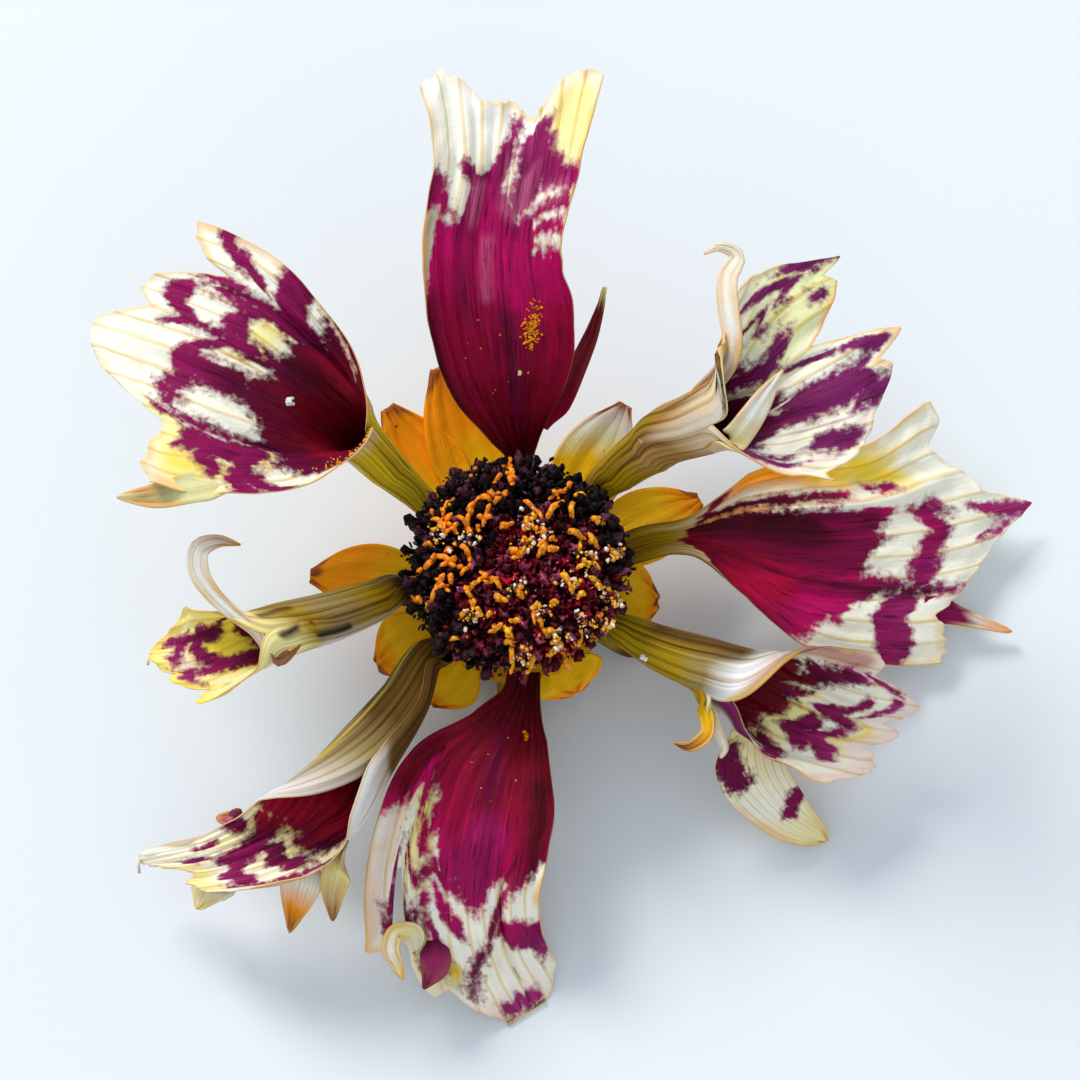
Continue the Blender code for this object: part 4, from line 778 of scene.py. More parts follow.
                  (-.05, .77, -.25, .68, .42), (-.25, .66, -.55, .65, .45), (-.15, .92, -.22, .88, .22),
                  (.95, .78, .75, .93, .15), (-.6, .8, -.55, .86, .1), (-.7, .72, -1, .75, .4)],
        "tints": [("butter", .2, .98, .5, .98, .8), ("pinkCream", -.95, .7, -.95, .8, .3)],
        "stains": [("mud", -.1, .1, -.1, .3, .9), ("greyOlive", -.2, .36, -.2, .44, .8),
                   ("mud", .7, .1, .7, .44, .8), ("mossYellow", -.36, .1, -.5, .46, .06)],
        "creases": [(-.2, .5, -.3, .9, .04), (.3, .5, .3, .85, .03)],
        "dark": [(0.0, "deepMaroon"), (0.4, "maroon"), (0.6, "crimson"), (0.7, "inkPurple"),
                 (0.8, "purple"), (1.0, "dustyPurple")],
        "ground": [(0, "butter"), (0.65, "butter"), (0.85, "cream"), (1, "milk")],
        "back": [(0, "darkOlive"), (0.3, "mud"), (0.42, "greyOlive"), (0.54, "ash"), (0.64, "frost"),
                 (0.8, "pinkCream"), (1, "purple")],
        "strips": [{"root": (0.7, 0.5), "facing": (-0.3, -0.7, 0.6), "lower": 0.15,
                    "spine": [(-9.3, -13.2, 4.4), (-9.8, -14.9, 2.8)], "halfWidth": [1.0, 0.9, 0.2],
                    "ground": [(0, "purple"), (0.4, "cream"), (0.7, "orange"), (1, "bark")],
                    "back": [(0, "beige"), (1, "rust")]},
                   {"root": (0.68, 0.85), "facing": (-0.3, -0.7, 0.6), "lower": 0.15,
                    "spine": [(-7.8, -13.4, 5.4), (-7.9, -14.6, 3.8)], "halfWidth": [0.8, 0.6, 0.2],
                    "ground": [(0, "inkPurple"), (0.3, "butter"), (1, "rust")],
                    "back": [(0, "beige"), (1, "rust")]},
                   {"root": (0.72, -0.95), "facing": (0.2, 0.2, 0.8),
                    "spine": [(-12.0, -10.4, 4.9), (-12.9, -10.3, 4.7)], "halfWidth": [0.5, 0.5, 0.25],
                    "ground": [(0, "violet"), (0.6, "rose"), (1, "rust")],
                    "back": [(0, "violet"), (1, "rust")]},
                   {"root": (0.87, 0.3), "facing": upward, "lower": 0.15,
                    "spine": [(-13.2, -13.0, 3.6), (-13.8, -13.9, 3.0)], "halfWidth": [1.0, 0.9, 0.4],
                    "ground": [(0, "cream"), (1, "butter")], "back": [(0, "beige"), (1, "cream")]}],
    },
}


def strandParts(paths, radii, sides, seed, values):
    # tubes along paths (count x rings x 3): a ring of `sides` points round each path point, at the
    # given radius (count x rings x sides), with a pole at each end
    count, rings = paths.shape[:2]
    tangent = unitOf(np.gradient(paths, axis=1))
    pick = np.random.default_rng(seed).normal(size=(count, 1, 3))
    first = unitOf(pick - (pick * tangent).sum(-1, keepdims=True) * tangent)
    second = np.cross(tangent, first)
    angle = np.linspace(0, 2 * math.pi, sides, endpoint=False)
    ring = np.cos(angle)[:, None] * first[:, :, None] + np.sin(angle)[:, None] * second[:, :, None]
    body = paths[:, :, None] + ring * radii[..., None]
    ends = paths[:, [0, -1]]
    vertices = np.concatenate([body.reshape(count, -1, 3), ends], 1)
    index = np.arange(rings * sides).reshape(rings, sides)
    after = np.roll(index, -1, axis=1)
    quads = np.stack([index[:-1], after[:-1], after[1:], index[1:]], -1).reshape(-1, 4)
    low, high = rings * sides, rings * sides + 1
    caps = np.concatenate([np.stack([after[0], index[0], np.full(sides, low)], 1),
                           np.stack([index[-1], after[-1], np.full(sides, high)], 1)])
    shift = (np.arange(count) * (rings * sides + 2))[:, None, None]
    along = np.concatenate([np.repeat(np.linspace(0, 1, rings), sides), [0.0, 1.0]])
    tables = {key: np.repeat(value, rings * sides + 2, axis=0) for key, value in values.items()}
    tables["along"] = np.tile(along, count)
    return {"vertices": vertices.reshape(-1, 3), "values": tables,
            "faces": [(quads + shift).reshape(-1, 4), (caps + shift).reshape(-1, 3)]}


def grainPart(centres, sizes, tints, seed):
    # small crushed grains: a squashed bead of four rings at each place, twice its size long
    draw = np.random.default_rng(seed)
    n = len(centres)
    shape = np.array([0.45, 1.0, 0.95, 0.4])[None, :, None]
    rings, sides = shape.size, 5
    t = np.linspace(-0.5, 0.5, rings)
    way = unitOf(draw.normal(size=(n, 1, 3)))
    path = centres[:, None] + way * t[None, :, None] * sizes[:, None, None] * 2
    radii = shape * draw.uniform(0.3, 1.3, (n, rings, sides)) * sizes[:, None, None]
    return strandParts(path, radii, sides, seed + 1, {"tint": tints})


def grainsOn(blade, middle, normal, seed):
    # pollen and crumbs stuck to a blade: each entry gives colour, across, along, how far they
    # scatter across and along, how many, their size in mm and the face (1 upper, -1 lower)
    draw = np.random.default_rng(seed + 17)
    rows, columns = middle.shape[:2]
    centres, sizes, tints = [], [], []
    for colour, v, u, wideScatter, longScatter, count, size, face in blade["grains"]:
        along = u + longScatter * draw.normal(size=count)
        i = np.clip(np.rint(along * (rows - 1)), 0, rows - 1).astype(int)
        aside = v + wideScatter * draw.normal(size=count)
        j = np.clip(np.rint((aside + 1) / 2 * (columns - 1)), 0, columns - 1).astype(int)
        sizes.append(size * draw.uniform(0.6, 1.3, count))
        stand = 0.07 + 0.4 * sizes[-1][:, None]  # from the middle surface to the grain's own middle
        centres.append(middle[i, j] + normal[i, j] * face * stand)
        tints.append(tone(colour)[None] * draw.uniform(0.75, 1.1, (count, 1)))
    part = grainPart(np.concatenate(centres), np.concatenate(sizes), np.concatenate(tints), seed)
    tint, n = part["values"]["tint"], len(part["vertices"])
    part["uv"] = np.full((n, 2), 0.5)
    part["values"] = {"mark": np.full(n, unmarked), "pale": tint, "dark": tint, "lined": np.zeros(n)}
    return part


def blended(first, second, share):
    # first x (1 - share) + second x share
    return first * (1 - share) + second * share


def strokeShare(stroke, v, u, wide, long, low, high):
    # 0 outside a stroke and 1 inside it, eased from low to high mm inside its outline
    return ease(low, high, strokeField([stroke], v, u, wide, long))[..., None]


def paintBlade(blade, rows, across, wide, long, seed, shut):
    # depth inside the purple pattern in mm, and the colours of the ground, the dark marks and the
    # back: a ramp along the blade, blended with the colours of the strokes on it
    v, u = np.broadcast_arrays(across[None, :], rows[:, None])
    mark = np.full(v.shape, unmarked)
    if "limit" in blade:
        mark = (lineOf(blade["limit"], v) - u) * long * 0.5  # the edge of the base fades softly
    if "claw" in blade:
        mark = np.minimum(mark, (u - lineOf(blade["claw"], v)) * long)
    if "marks" in blade:
        mark = np.maximum(mark, strokeField(blade["marks"], v, u, wide, long))
    if "cuts" in blade:
        mark = np.minimum(mark, -strokeField(blade["cuts"], v, u, wide, long))
    drift = 0.05 * softNoise(v * 5 + 9, u * 4 + 2, seed + 11)
    ground = rampOf(blade["ground"], np.clip(u + drift, 0, 1))
    for name, *stroke in blade.get("tints", []):
        ground = blended(ground, tone(name), strokeShare(stroke, v, u, wide, long, -0.5, 0.7))
    dark = rampOf(blade.get("dark", innerDark), np.clip(u + drift, 0, 1))
    for name, *stroke in blade.get("inks", []):
        dark = blended(dark, tone(name), strokeShare(stroke, v, u, wide, long, -0.5, 0.6) * 0.8)
    back = rampOf(blade["back"], np.clip(u + drift * 0.6, 0, 1))
    for name, *stroke in blade.get("stains", []):
        soft = 0.1 if name in ("soot", "bark", "mossYellow") else 0.35
        back = blended(back, tone(name), strokeShare(stroke, v, u, wide, long, -soft, soft))
    for stroke in blade.get("creases", []):
        share = strokeShare(stroke, v + drift * 0.4, u, wide, long, -0.05, 0.05) * 0.75
        ground = blended(ground, tone("rust"), share)
        dark = blended(dark, tone("soot"), share)
    # the outermost 0.4 mm of the margin and of the tip is dried to butter and rust
    fromEdge = np.minimum((1 - np.abs(v)) * wide * (1 + 3 * ease(0.6, 0.0, u)), (1 - u) * long)
    fromEdge = fromEdge + 0.25 * softNoise(v * wide * 1.3 + 4, u * long * 1.3, seed + 12)
    worn = ease(0.42, 0.0, fromEdge) * ease(0.25, 0.5, u)
    uneven = 0.55 + 0.45 * softNoise(v * wide * 0.5 + 8, u * long * 0.5, seed + 13)
    worn = (worn * blade.get("worn", 1.0) * (1 - shut) * uneven)[..., None]
    edge = tone("orange") * 0.4 + tone("butter") * 0.45 + tone("rust") * 0.15
    return mark, blended(ground, edge, worn), dark, blended(back, edge, worn)


def unrolled(field):
    # a grid of values as one long column
    return field.reshape(-1, *field.shape[2:])


def bladePart(blade, grid, seed, wide, long, lined):
    # one blade as a closed sheet: middle surface + normal x relief, thinner at its margins and tip,
    # with its colours on both faces; `lined` is how strong the claw's brown stripes are
    rows = np.linspace(0, 1, grid["rows"])
    across = np.linspace(-1, 1, grid["columns"])
    middle, shut = bladeSurface(blade, rows, across, seed)
    folds = relief(blade, rows, across, seed, wide, long, shut)
    middle = middle + bladeNormals(middle) * folds[..., None]
    normal = bladeNormals(middle)
    thin = grid["thickness"] * (1 - 0.55 * ease(0.8, 1.0, np.abs(across))[None, :])
    thin = thin * (1 - 0.5 * ease(0.93, 1.0, rows)[:, None])
    vertices, faces = closedSheet(middle, normal, thin)
    vertices[:, 2] = np.maximum(vertices[:, 2], tableGap)
    mark, ground, dark, back = paintBlade(blade, rows, across, wide, long, seed, shut)
    v, u = np.broadcast_arrays(across[None, :], rows[:, None])
    uv = np.stack([v * 0.5 + 0.5, u], -1).reshape(-1, 2)
    fades = blade.get("mouth", [(0.45, 0.54)])[0]
    strength = np.interp(u, [0, fades[0], fades[1] + 0.08, 1.0], [lined, lined, 0.35, 0.12])
    # the dark marks show a little from behind, but not on the outside of a rolled claw
    behind = mark - 1.6
    if "mouth" in blade:
        behind = behind - 20 * ease(fades[1] + 0.1, fades[1] - 0.03, u)
    faded = dark * 0.5 + back * 0.5
    values = {"mark": (behind, mark), "pale": (back, ground), "dark": (faded, dark),
              "lined": (strength, strength * 0.3)}
    sheet = {"vertices": vertices, "faces": [faces], "uv": np.concatenate([uv, uv]),
             "values": {key: np.concatenate([unrolled(lower), unrolled(upper)])
                        for key, (lower, upper) in values.items()}}
    return [sheet, grainsOn(blade, middle, normal, seed)] if "grains" in blade else [sheet]


def lengthOf(spine):
    # the straight steps of a spine together
    return float(np.linalg.norm(np.diff(np.array(spine), axis=0), axis=1).sum())


def buildPetal(name, petal, number):
    # the petal's own blade, and each strip as a narrow blade grown from its place on the first one
    seed = 40 * (number + 1)
    long = lengthOf(petal["spine"]) * 0.92
    wide = float(np.mean(pairsOf(petal["halfWidth"])[3:]))
    parts = bladePart(petal, petalGrid, seed, wide, long, 0.9)
    for count, strip in enumerate(petal["strips"]):
        along, at = strip["root"]
        rows, across = np.array([along - 0.02, along, along + 0.02]), np.array([at - 0.04, at, at + 0.04])
        nearby = bladeSurface(petal, rows, across, seed)[0]
        face = bladeNormals(nearby)[1, 1]
        start = nearby[1, 1] - face * strip.get("lower", 0.0)
        grown = dict(strip, spine=[tuple(start)] + strip["spine"], crumple=0.35, veins=2, rootFace=face)
        half = max(float(np.mean(strip["halfWidth"])), 0.4)
        parts += bladePart(grown, stripGrid, seed + 5 + count, half, lengthOf(grown["spine"]), 0.5)
    paper = petalPaper("driedPetal_" + name, petal["veins"], number + 1)
    piece = pieceFrom("petal_" + name, parts, paper, ["petal_" + name])
    print("petal", name, len(piece.data.polygons), "faces")


for petalNumber, (petalName, petalLook) in enumerate(petals.items()):
    buildPetal(petalName, petalLook, petalNumber)


def turned(points, bearing):
    # x' = x cos(b) - y sin(b), y' = x sin(b) + y cos(b)
    c, s = math.cos(bearing), math.sin(bearing)
    return points @ np.array([[c, s, 0], [-s, c, 0], [0, 0, 1]])


bractFinish = {"bump": 0.5, "depth": 0.0001, "rough": (0.42, 0.66), "gloss": 0.12}


def bractPaper(name, veinTint, seed):
    # Bract: the colour along it comes from the mesh, with thin long fibres, clouds and dark specks.
    material, tree, surface = newMaterial(name)
    shifted = pieceMap(tree, (seed, seed * 0.7, 0.0))[1]
    fibre = fibresOf(tree, shifted, 26.0, 2.2)
    patch = noiseOf(tree, objectPlace(tree), 700.0)
    grain = noiseOf(tree, objectPlace(tree), 3200.0, 2.0)
    base = attributeOf(tree, "pale")
    lines = blendOf(tree, patches(tree, fibre, 0.52, 0.68, 0.3), base, timesColour(tree, base, veinTint))
    cloudy = timesColour(tree, lines, (0.92, 0.62, 0.40))
    clouds = blendOf(tree, patches(tree, patch, 0.52, 0.74, 0.3), lines, cloudy)
    specks = blendOf(tree, stepOf(tree, grain, 0.72, 0.78), clouds, colour4("bark"))
    height = sums(tree, "ADD", fibre, sums(tree, "MULTIPLY", grain, 0.4))
    finishSurface(tree, surface, specks, height, patch, bractFinish)
    return material


def ringPart(profile, segments, ribs, depth, colours, seed):
    # lathe profile turned round the axis, its radius swelled by depth x cos(ribs x angle)
    marks = np.array(profile, float)
    steps = np.concatenate([[0], np.cumsum(np.linalg.norm(np.diff(marks, axis=0), axis=1))])
    n = 60  # rings along the profile
    fine = np.linspace(0, steps[-1], n)
    r = np.interp(fine, steps, marks[:, 0])[:, None]
    z = np.interp(fine, steps, marks[:, 1])[:, None]
    angle = np.linspace(0, 2 * math.pi, segments, endpoint=False)[None, :]
    lump = 0.05 * softNoise(np.cos(angle) * 4 + 20 + 0 * r, np.sin(angle) * 4 + fine[:, None] * 2 + 20, seed)
    swell = r + ease(0.3, 1.0, r) * (depth * np.cos(ribs * angle) + lump)
    swell = np.where(r < 1e-6, 0.0, swell)
    points = np.stack([swell * np.cos(angle), swell * np.sin(angle), z + 0 * angle], -1)
    index = np.arange(n * segments).reshape(n, segments)
    after = np.roll(index, -1, axis=1)
    quads = np.stack([index[:-1], after[:-1], after[1:], index[1:]], -1).reshape(-1, 4)
    share = np.broadcast_to((fine / fine[-1])[:, None], (n, segments))
    uv = np.stack([np.broadcast_to(angle / (2 * math.pi), share.shape) * 4, share], -1).reshape(-1, 2)
    return {"vertices": points.reshape(-1, 3), "faces": [quads], "uv": uv,
            "values": {"pale": rampOf(colours, share).reshape(-1, 3)}}


def leafPart(look, spine, colours, bearing, seed):
    # a bract: the same blade formula, thinner at its margins, turned round the axis to its bearing
    rows, across = np.linspace(0, 1, look["rows"]), np.linspace(-1, 1, look["columns"])
    blade = {"spine": spine, "halfWidth": look["halfWidth"], "curl": look["curl"], "crumple": look["crumple"],
             "veins": 4}
    middle, shut = bladeSurface(blade, rows, across, seed)
    wide, long = max(look["halfWidth"][1], 0.5), 5.0
    folds = relief(blade, rows, across, seed, wide, long, shut)
    middle = middle + bladeNormals(middle) * folds[..., None]
    thinner = 0.5 * ease(0.7, 1.0, np.abs(across))[None, :] * np.ones((look["rows"], 1))
    vertices, faces = closedSheet(middle, bladeNormals(middle), look["thickness"] * (1 - thinner))
    vertices[:, 2] = np.maximum(vertices[:, 2], tableGap)
    v, u = np.broadcast_arrays(across[None, :], rows[:, None])
    drift = 0.08 * softNoise(v * 3 + 5, u * 3 + 5, seed + 3)
    uv = np.stack([v * 0.5 + 0.5 + seed * 0.31, u], -1).reshape(-1, 2)
    front = rampOf(colours, np.clip(u + drift + 0.10 * np.abs(v) ** 2, 0, 1)).reshape(-1, 3)
    behind = rampOf(look["backs"], np.clip(u + drift, 0, 1)).reshape(-1, 3)
    return {"vertices": turned(vertices, math.radians(bearing)), "faces": [faces],
            "uv": np.concatenate([uv, uv]), "values": {"pale": np.concatenate([behind, front])}}


# `leaves` are bearing in degrees, reach and rise; `kinds` says by bearing which colours a leaf has.
innerBracts = {
    "leaves": [(27, 9.0, 0.2), (59, 9.2, 2.0), (110, 10.0, 2.6), (126, 9.6, 2.0), (177, 9.0, 0.8),
               (208, 6.9, -0.4), (232, 6.2, -0.5), (300, 5.2, -0.3), (356, 6.2, -0.3)],
    "root": (3.8, 4.0), "halfWidth": [0.9, 1.5, 1.7, 1.3, 0.3], "curl": [20, 25, 25, 20, 10],
    "rows": 56, "columns": 33, "thickness": 0.22, "crumple": 0.5,
    "cup": [(3.5, 3.6), (4.0, 3.7), (4.2, 4.0), (4.0, 4.25), (3.5, 4.3), (3.5, 3.6)],
    "cupColours": [(0, "olive"), (1, "orange")],
    "colours": [(0, "olive"), (0.08, "gold"), (0.7, "gold"), (0.9, "orange"), (0.97, "orange"), (1, "rust")],
    "bleached": [(0, "gold"), (0.5, "gold"), (0.68, "butter"), (0.84, "cream"), (0.93, "pinkCream"),
                 (1, "rust")],
    "amber": [(0, "olive"), (0.06, "orange"), (0.3, "gold"), (0.6, "orange"), (0.93, "orange"), (1, "rust")],
    "kinds": {59: "bleached", 110: "amber", 126: "amber", 177: "amber"},
    "backs": [(0, "olive"), (0.3, "orange"), (0.8, "orange"), (1, "rust")], "veinTint": (0.9, 0.62, 0.35),
}


def buildInnerBracts(look):
    # a cup and its leaves; a leaf's height = root height + rise x (share of its length) ^ 1.6
    parts = [ringPart(look["cup"], 120, 16, 0.03, look["cupColours"], 5)]
    start, rootHeight = look["root"]
    shares = np.linspace(0, 1, 5)
    for count, (bearing, reach, rise) in enumerate(look["leaves"]):
        spine = [(start + (reach - start) * f, 0.0, rootHeight + rise * f ** 1.6) for f in shares]
        colours = look[look["kinds"].get(bearing, "colours")]
        parts.append(leafPart(look, spine, colours, bearing, 300 + count))
    paper = bractPaper("driedInnerBract", look["veinTint"], 2.0)
    piece = pieceFrom("inner_bracts", parts, paper, ["inner_bracts"])
    print("inner bracts", len(piece.data.polygons), "faces")


outerBracts = {
    "bearings": [20, 56, 92, 128, 176, 216, 268, 344],
    "profile": [(2.3, 2.3), (3.3, 2.2), (4.2, 1.4), (4.8, 0.55), (5.3, 0.2), (5.9, 0.2)],
    "halfWidth": [0.6, 0.7, 0.7, 0.65, 0.55, 0.35], "curl": [15, 20, 20, 15, 0, 0],
    "rows": 44, "columns": 17, "thickness": 0.3, "crumple": 0.3,
    "collar": [(1.5, 1.3), (2.1, 1.6), (2.9, 2.2), (3.0, 2.7), (2.65, 2.72), (2.0, 2.2), (1.45, 1.8),
               (1.5, 1.3)],
    "collarColours": [(0, "stemGreen"), (1, "stemBrown")],
    "colours": [(0, "stemGreen"), (0.6, "olive"), (0.85, "stemBrown"), (1, "bark")],
    "backs": [(0, "stemGreen"), (0.7, "stemBrown"), (1, "bark")], "veinTint": (0.6, 0.6, 0.4),
}


def buildOuterBracts(look):
    # a collar and its leaves, all of one profile
    parts = [ringPart(look["collar"], 120, 16, 0.03, look["collarColours"], 6)]
    spine = [(r, 0.0, z) for r, z in look["profile"]]
    for count, bearing in enumerate(look["bearings"]):
        parts.append(leafPart(look, spine, look["colours"], bearing, 340 + count))
    paper = bractPaper("driedOuterBract", look["veinTint"], 5.0)
    piece = pieceFrom("outer_bracts", parts, paper, ["outer_bracts"])
    print("outer bracts", len(piece.data.polygons), "faces")


receptacle = {
    "profile": [(0.0, 0.7), (0.85, 0.7), (1.0, 0.9), (1.05, 1.9), (1.7, 2.5), (2.5, 3.1),
                (3.1, 3.7), (3.2, 4.3), (3.1, 4.9), (2.9, 5.0), (0.0, 5.0)],
    "colours": [(0, "beige"), (0.08, "bark"), (0.2, "stemGreen"), (0.6, "stemGreen"), (1, "darkOlive")],
    "veinTint": (0.55, 0.6, 0.4),
}


def buildReceptacle(look):
    # the green base and the short cut end of the stalk, in one profile
    part = ringPart(look["profile"], 160, 12, 0.05, look["colours"], 7)
    paper = bractPaper("driedReceptacle", look["veinTint"], 8.0)
    piece = pieceFrom("receptacle", [part], paper, ["receptacle"])
    print("receptacle", len(piece.data.polygons), "faces")


buildInnerBracts(innerBracts)
buildOuterBracts(outerBracts)
buildReceptacle(receptacle)


# `styles` are x and y on the disc, heading in degrees, length and bend in degrees; `sparkles` are the
# places of pollen, and `pollenShares` the colours of its grains, up to each share; the milk-white
# grains are partly pale crumbs and partly painted glints.
disc = {
    "core": [(0.0, 5.3), (2.7, 5.3), (3.0, 5.5), (3.1, 6.4), (3.9, 7.3), (4.35, 7.75), (4.35, 8.15),
             (3.95, 8.7), (3.2, 9.3), (2.0, 9.7), (1.0, 9.87), (0.0, 9.9)],
    "coreColours": [(0, "bark"), (1, "soot")], "rim": 8.1, "lean": (76, 4.6),
    "florets": 380, "bits": 1500, "stubs": 56, "budPlace": (0.9, -1.4), "budRadius": 2.9,
    "styles": [(-0.2, 3.6, 80, 1.1, 30), (-1.3, 2.5, 130, 0.7, 60), (-0.7, 2.5, 60, 0.8, -30),
               (-1.3, 1.6, 95, 1.1, -20), (0.8, 1.9, 120, 1.2, 50), (1.6, 2.0, 60, 1.2, -40),
               (1.7, 2.7, 40, 0.9, -60), (2.4, 2.0, 80, 0.9, -50), (-2.2, 1.3, 120, 1.1, 80),
               (-3.0, 1.4, 80, 1.0, -90), (-3.4, 1.7, 150, 0.7, 20), (-3.7, 0.6, 160, 0.6, 60),
               (-2.9, -0.3, 160, 1.2, 40), (-2.1, 0.0, 80, 0.9, 60), (-2.0, 1.3, 110, 1.0, -60),
               (-1.0, -1.2, 120, 1.2, 50), (0.1, -0.1, 50, 0.8, 40), (1.1, 0.6, 70, 1.0, 80),
               (1.2, 0.2, 100, 0.6, 0), (0.4, 1.2, 40, 0.6, 30), (2.6, 0.9, 150, 0.9, 30),
               (3.3, 0.7, 140, 0.8, 0), (2.7, -0.5, 30, 0.8, 60), (2.2, -1.2, 110, 0.8, 60),
               (3.7, -1.2, 120, 1.2, 60), (3.6, -2.3, 30, 0.8, 40), (-3.4, -1.4, 95, 1.2, -40),
               (-3.1, -1.3, 120, 0.9, 10), (0.8, -2.6, 110, 0.9, -40), (-1.8, -2.7, 20, 0.8, 30),
               (-0.9, -3.2, 20, 0.7, 10), (-2.4, -3.4, 150, 0.8, 50), (-0.2, -4.4, 75, 1.0, 30),
               (1.7, -3.6, 130, 0.8, 20), (2.1, -4.2, 100, 1.1, -20), (2.7, -3.4, 60, 0.8, 40),
               (0.6, -4.5, 80, 0.8, 10), (-3.7, -0.2, 60, 0.7, 40), (4.2, 0.4, 80, 0.7, 30),
               (-2.9, 2.4, 40, 0.6, 10), (2.2, 3.2, 60, 0.6, 0), (-1.9, -1.9, 100, 0.7, 50)],
    "sparkles": [(0.2, 0.2), (1.1, 0.7), (2.6, -0.2), (2.1, -1.0), (1.0, -2.2), (0.0, -1.4), (2.6, -2.4),
                 (3.5, -1.5), (-1.6, -2.2), (1.6, -3.0), (3.4, -2.6), (-2.9, 0.9), (-1.8, 0.6), (0.4, 1.3),
                 (3.6, 0.2), (0.3, -3.6)],
    "clusterSize": 26, "pollenRadius": 4.1,
    # the milk share is partly pale crumbs and partly painted glints
    "pollenShares": [("gold", 0.45), ("milk", 0.8), ("rust", 0.88)],
}


def domeHeight(look, radius):
    # height of the dome at a radius, read off the profile above its rim
    top = [p for p in look["core"] if p[1] > look["rim"]][::-1]
    return np.interp(radius, [p[0] for p in top], [p[1] for p in top])


def domeFrame(look, x, y):
    # the point on the dome above (x, y) and the way a floret there leans: upright in the middle and
    # out at the rim, lean = widest lean x (radius / rim radius) ^ 1.7
    radius = np.hypot(x, y)
    widest, rimRadius = look["lean"]
    lean = math.radians(widest) * (np.minimum(radius, rimRadius) / rimRadius) ** 1.7
    outward = np.stack([x, y, 0 * x], -1) / np.maximum(radius, 1e-6)[..., None]
    point = np.stack([x, y, domeHeight(look, radius)], -1)
    return point, outward * np.sin(lean)[..., None] + np.array(upward) * np.cos(lean)[..., None]


def nearBuds(look, x, y, draw):
    # 1 over the patch of closed buds and 0 away from it, with a ragged edge between
    away = np.hypot(x - look["budPlace"][0], y - look["budPlace"][1]) + draw.normal(0, 0.5, len(x))
    return ease(look["budRadius"] + 0.8, look["budRadius"] - 0.8, away)


def witheredTint(near, shades, spread, rosy, draw):
    # soot away from the buds and maroon near them, each times its shade, spread from floret to
    # floret, and now and then some rose
    near = near[:, None]
    tint = tone("soot")[None] * shades[0] * (1 - near) + tone("maroon")[None] * shades[1] * near
    tint = tint * draw.uniform(*spread, near.shape)
    return tint + tone("rose")[None] * (draw.random(near.shape) ** 5) * (rosy + 0.6 * near)


floretFinish = {"bump": 0.8, "depth": 0.00012, "rough": (0.35, 0.7), "gloss": 0.12}


def floretPaper():
    # Withered florets: soot and maroon by floret, pinker at the tip, with grain and a dull shine.
    material, tree, surface = newMaterial("witheredFloret")
    grain = noiseOf(tree, objectPlace(tree), 5200.0)
    patch = noiseOf(tree, objectPlace(tree), 1700.0, 2.0)
    tint = attributeOf(tree, "tint")
    dark = timesColour(tree, tint, (0.22, 0.18, 0.22))
    light = timesColour(tree, tint, (2.2, 1.9, 2.0))
    body = blendOf(tree, stepOf(tree, grain, 0.42, 0.62), dark, tint)
    body = blendOf(tree, patches(tree, patch, 0.54, 0.70, attributeOf(tree, "along", "Fac")), body, light)
    finishSurface(tree, surface, body, sums(tree, "ADD", grain, patch), grain, floretFinish)
    return material


def corePart(look):
    # the dark body of the disc under its florets
    core = ringPart(look["core"], 128, 40, 0.02, look["coreColours"], 9)
    count = len(core["vertices"])
    core["values"] = {"tint": np.tile(tone("inkPurple") * 0.25, (count, 1)), "along": np.zeros(count)}
    core.pop("uv")
    return core


def floretPart(look, draw):
    # florets on a golden-angle spiral: a short tube that swells to a crushed mouth and shuts
    n, rings, sides = look["florets"], 6, 8
    k = np.arange(n)
    radius = 4.45 * np.sqrt((k + 0.5) / n)
    angle = k * goldenTurn + draw.normal(0, 0.05, n)
    x, y = radius * np.cos(angle), radius * np.sin(angle)
    foot, lean = domeFrame(look, x, y)
    aside = unitOf(draw.normal(size=(n, 3)))
    near = nearBuds(look, x, y, draw)
    length = 0.55 + 0.35 * draw.random(n) - 0.15 * near
    t = np.linspace(0, 1, rings)
    sunk = 0.35  # how far a floret starts below the dome
    path = foot[:, None] - sunk * lean[:, None]
    path = path + lean[:, None] * (t[None, :, None] * (length[:, None, None] + sunk))
    path = path + aside[:, None] * (0.16 * t ** 2)[None, :, None]
    shape = np.interp(t, [0, 0.3, 0.6, 0.8, 0.93, 1.0], [0.14, 0.14, 0.17, 0.22, 0.18, 0.06])
    around = np.linspace(0, 2 * math.pi, sides, endpoint=False)
    points = 1 + 0.45 * ease(0.5, 0.9, t)[None, :, None] * np.cos(4 * around)[None, None, :]
    crush = 1 + 0.34 * draw.normal(size=(n, rings, sides)) * ease(0.2, 0.8, t)[None, :, None]
    radii = np.clip(shape[None, :, None] * points * crush, 0.03, 0.36) * draw.uniform(0.75, 1.25, (n, 1, 1))
    tint = witheredTint(near, (1.1, 1.3), (0.4, 1.6), 0.2, draw)
    return strandParts(path, radii, sides, 3, {"tint": tint})


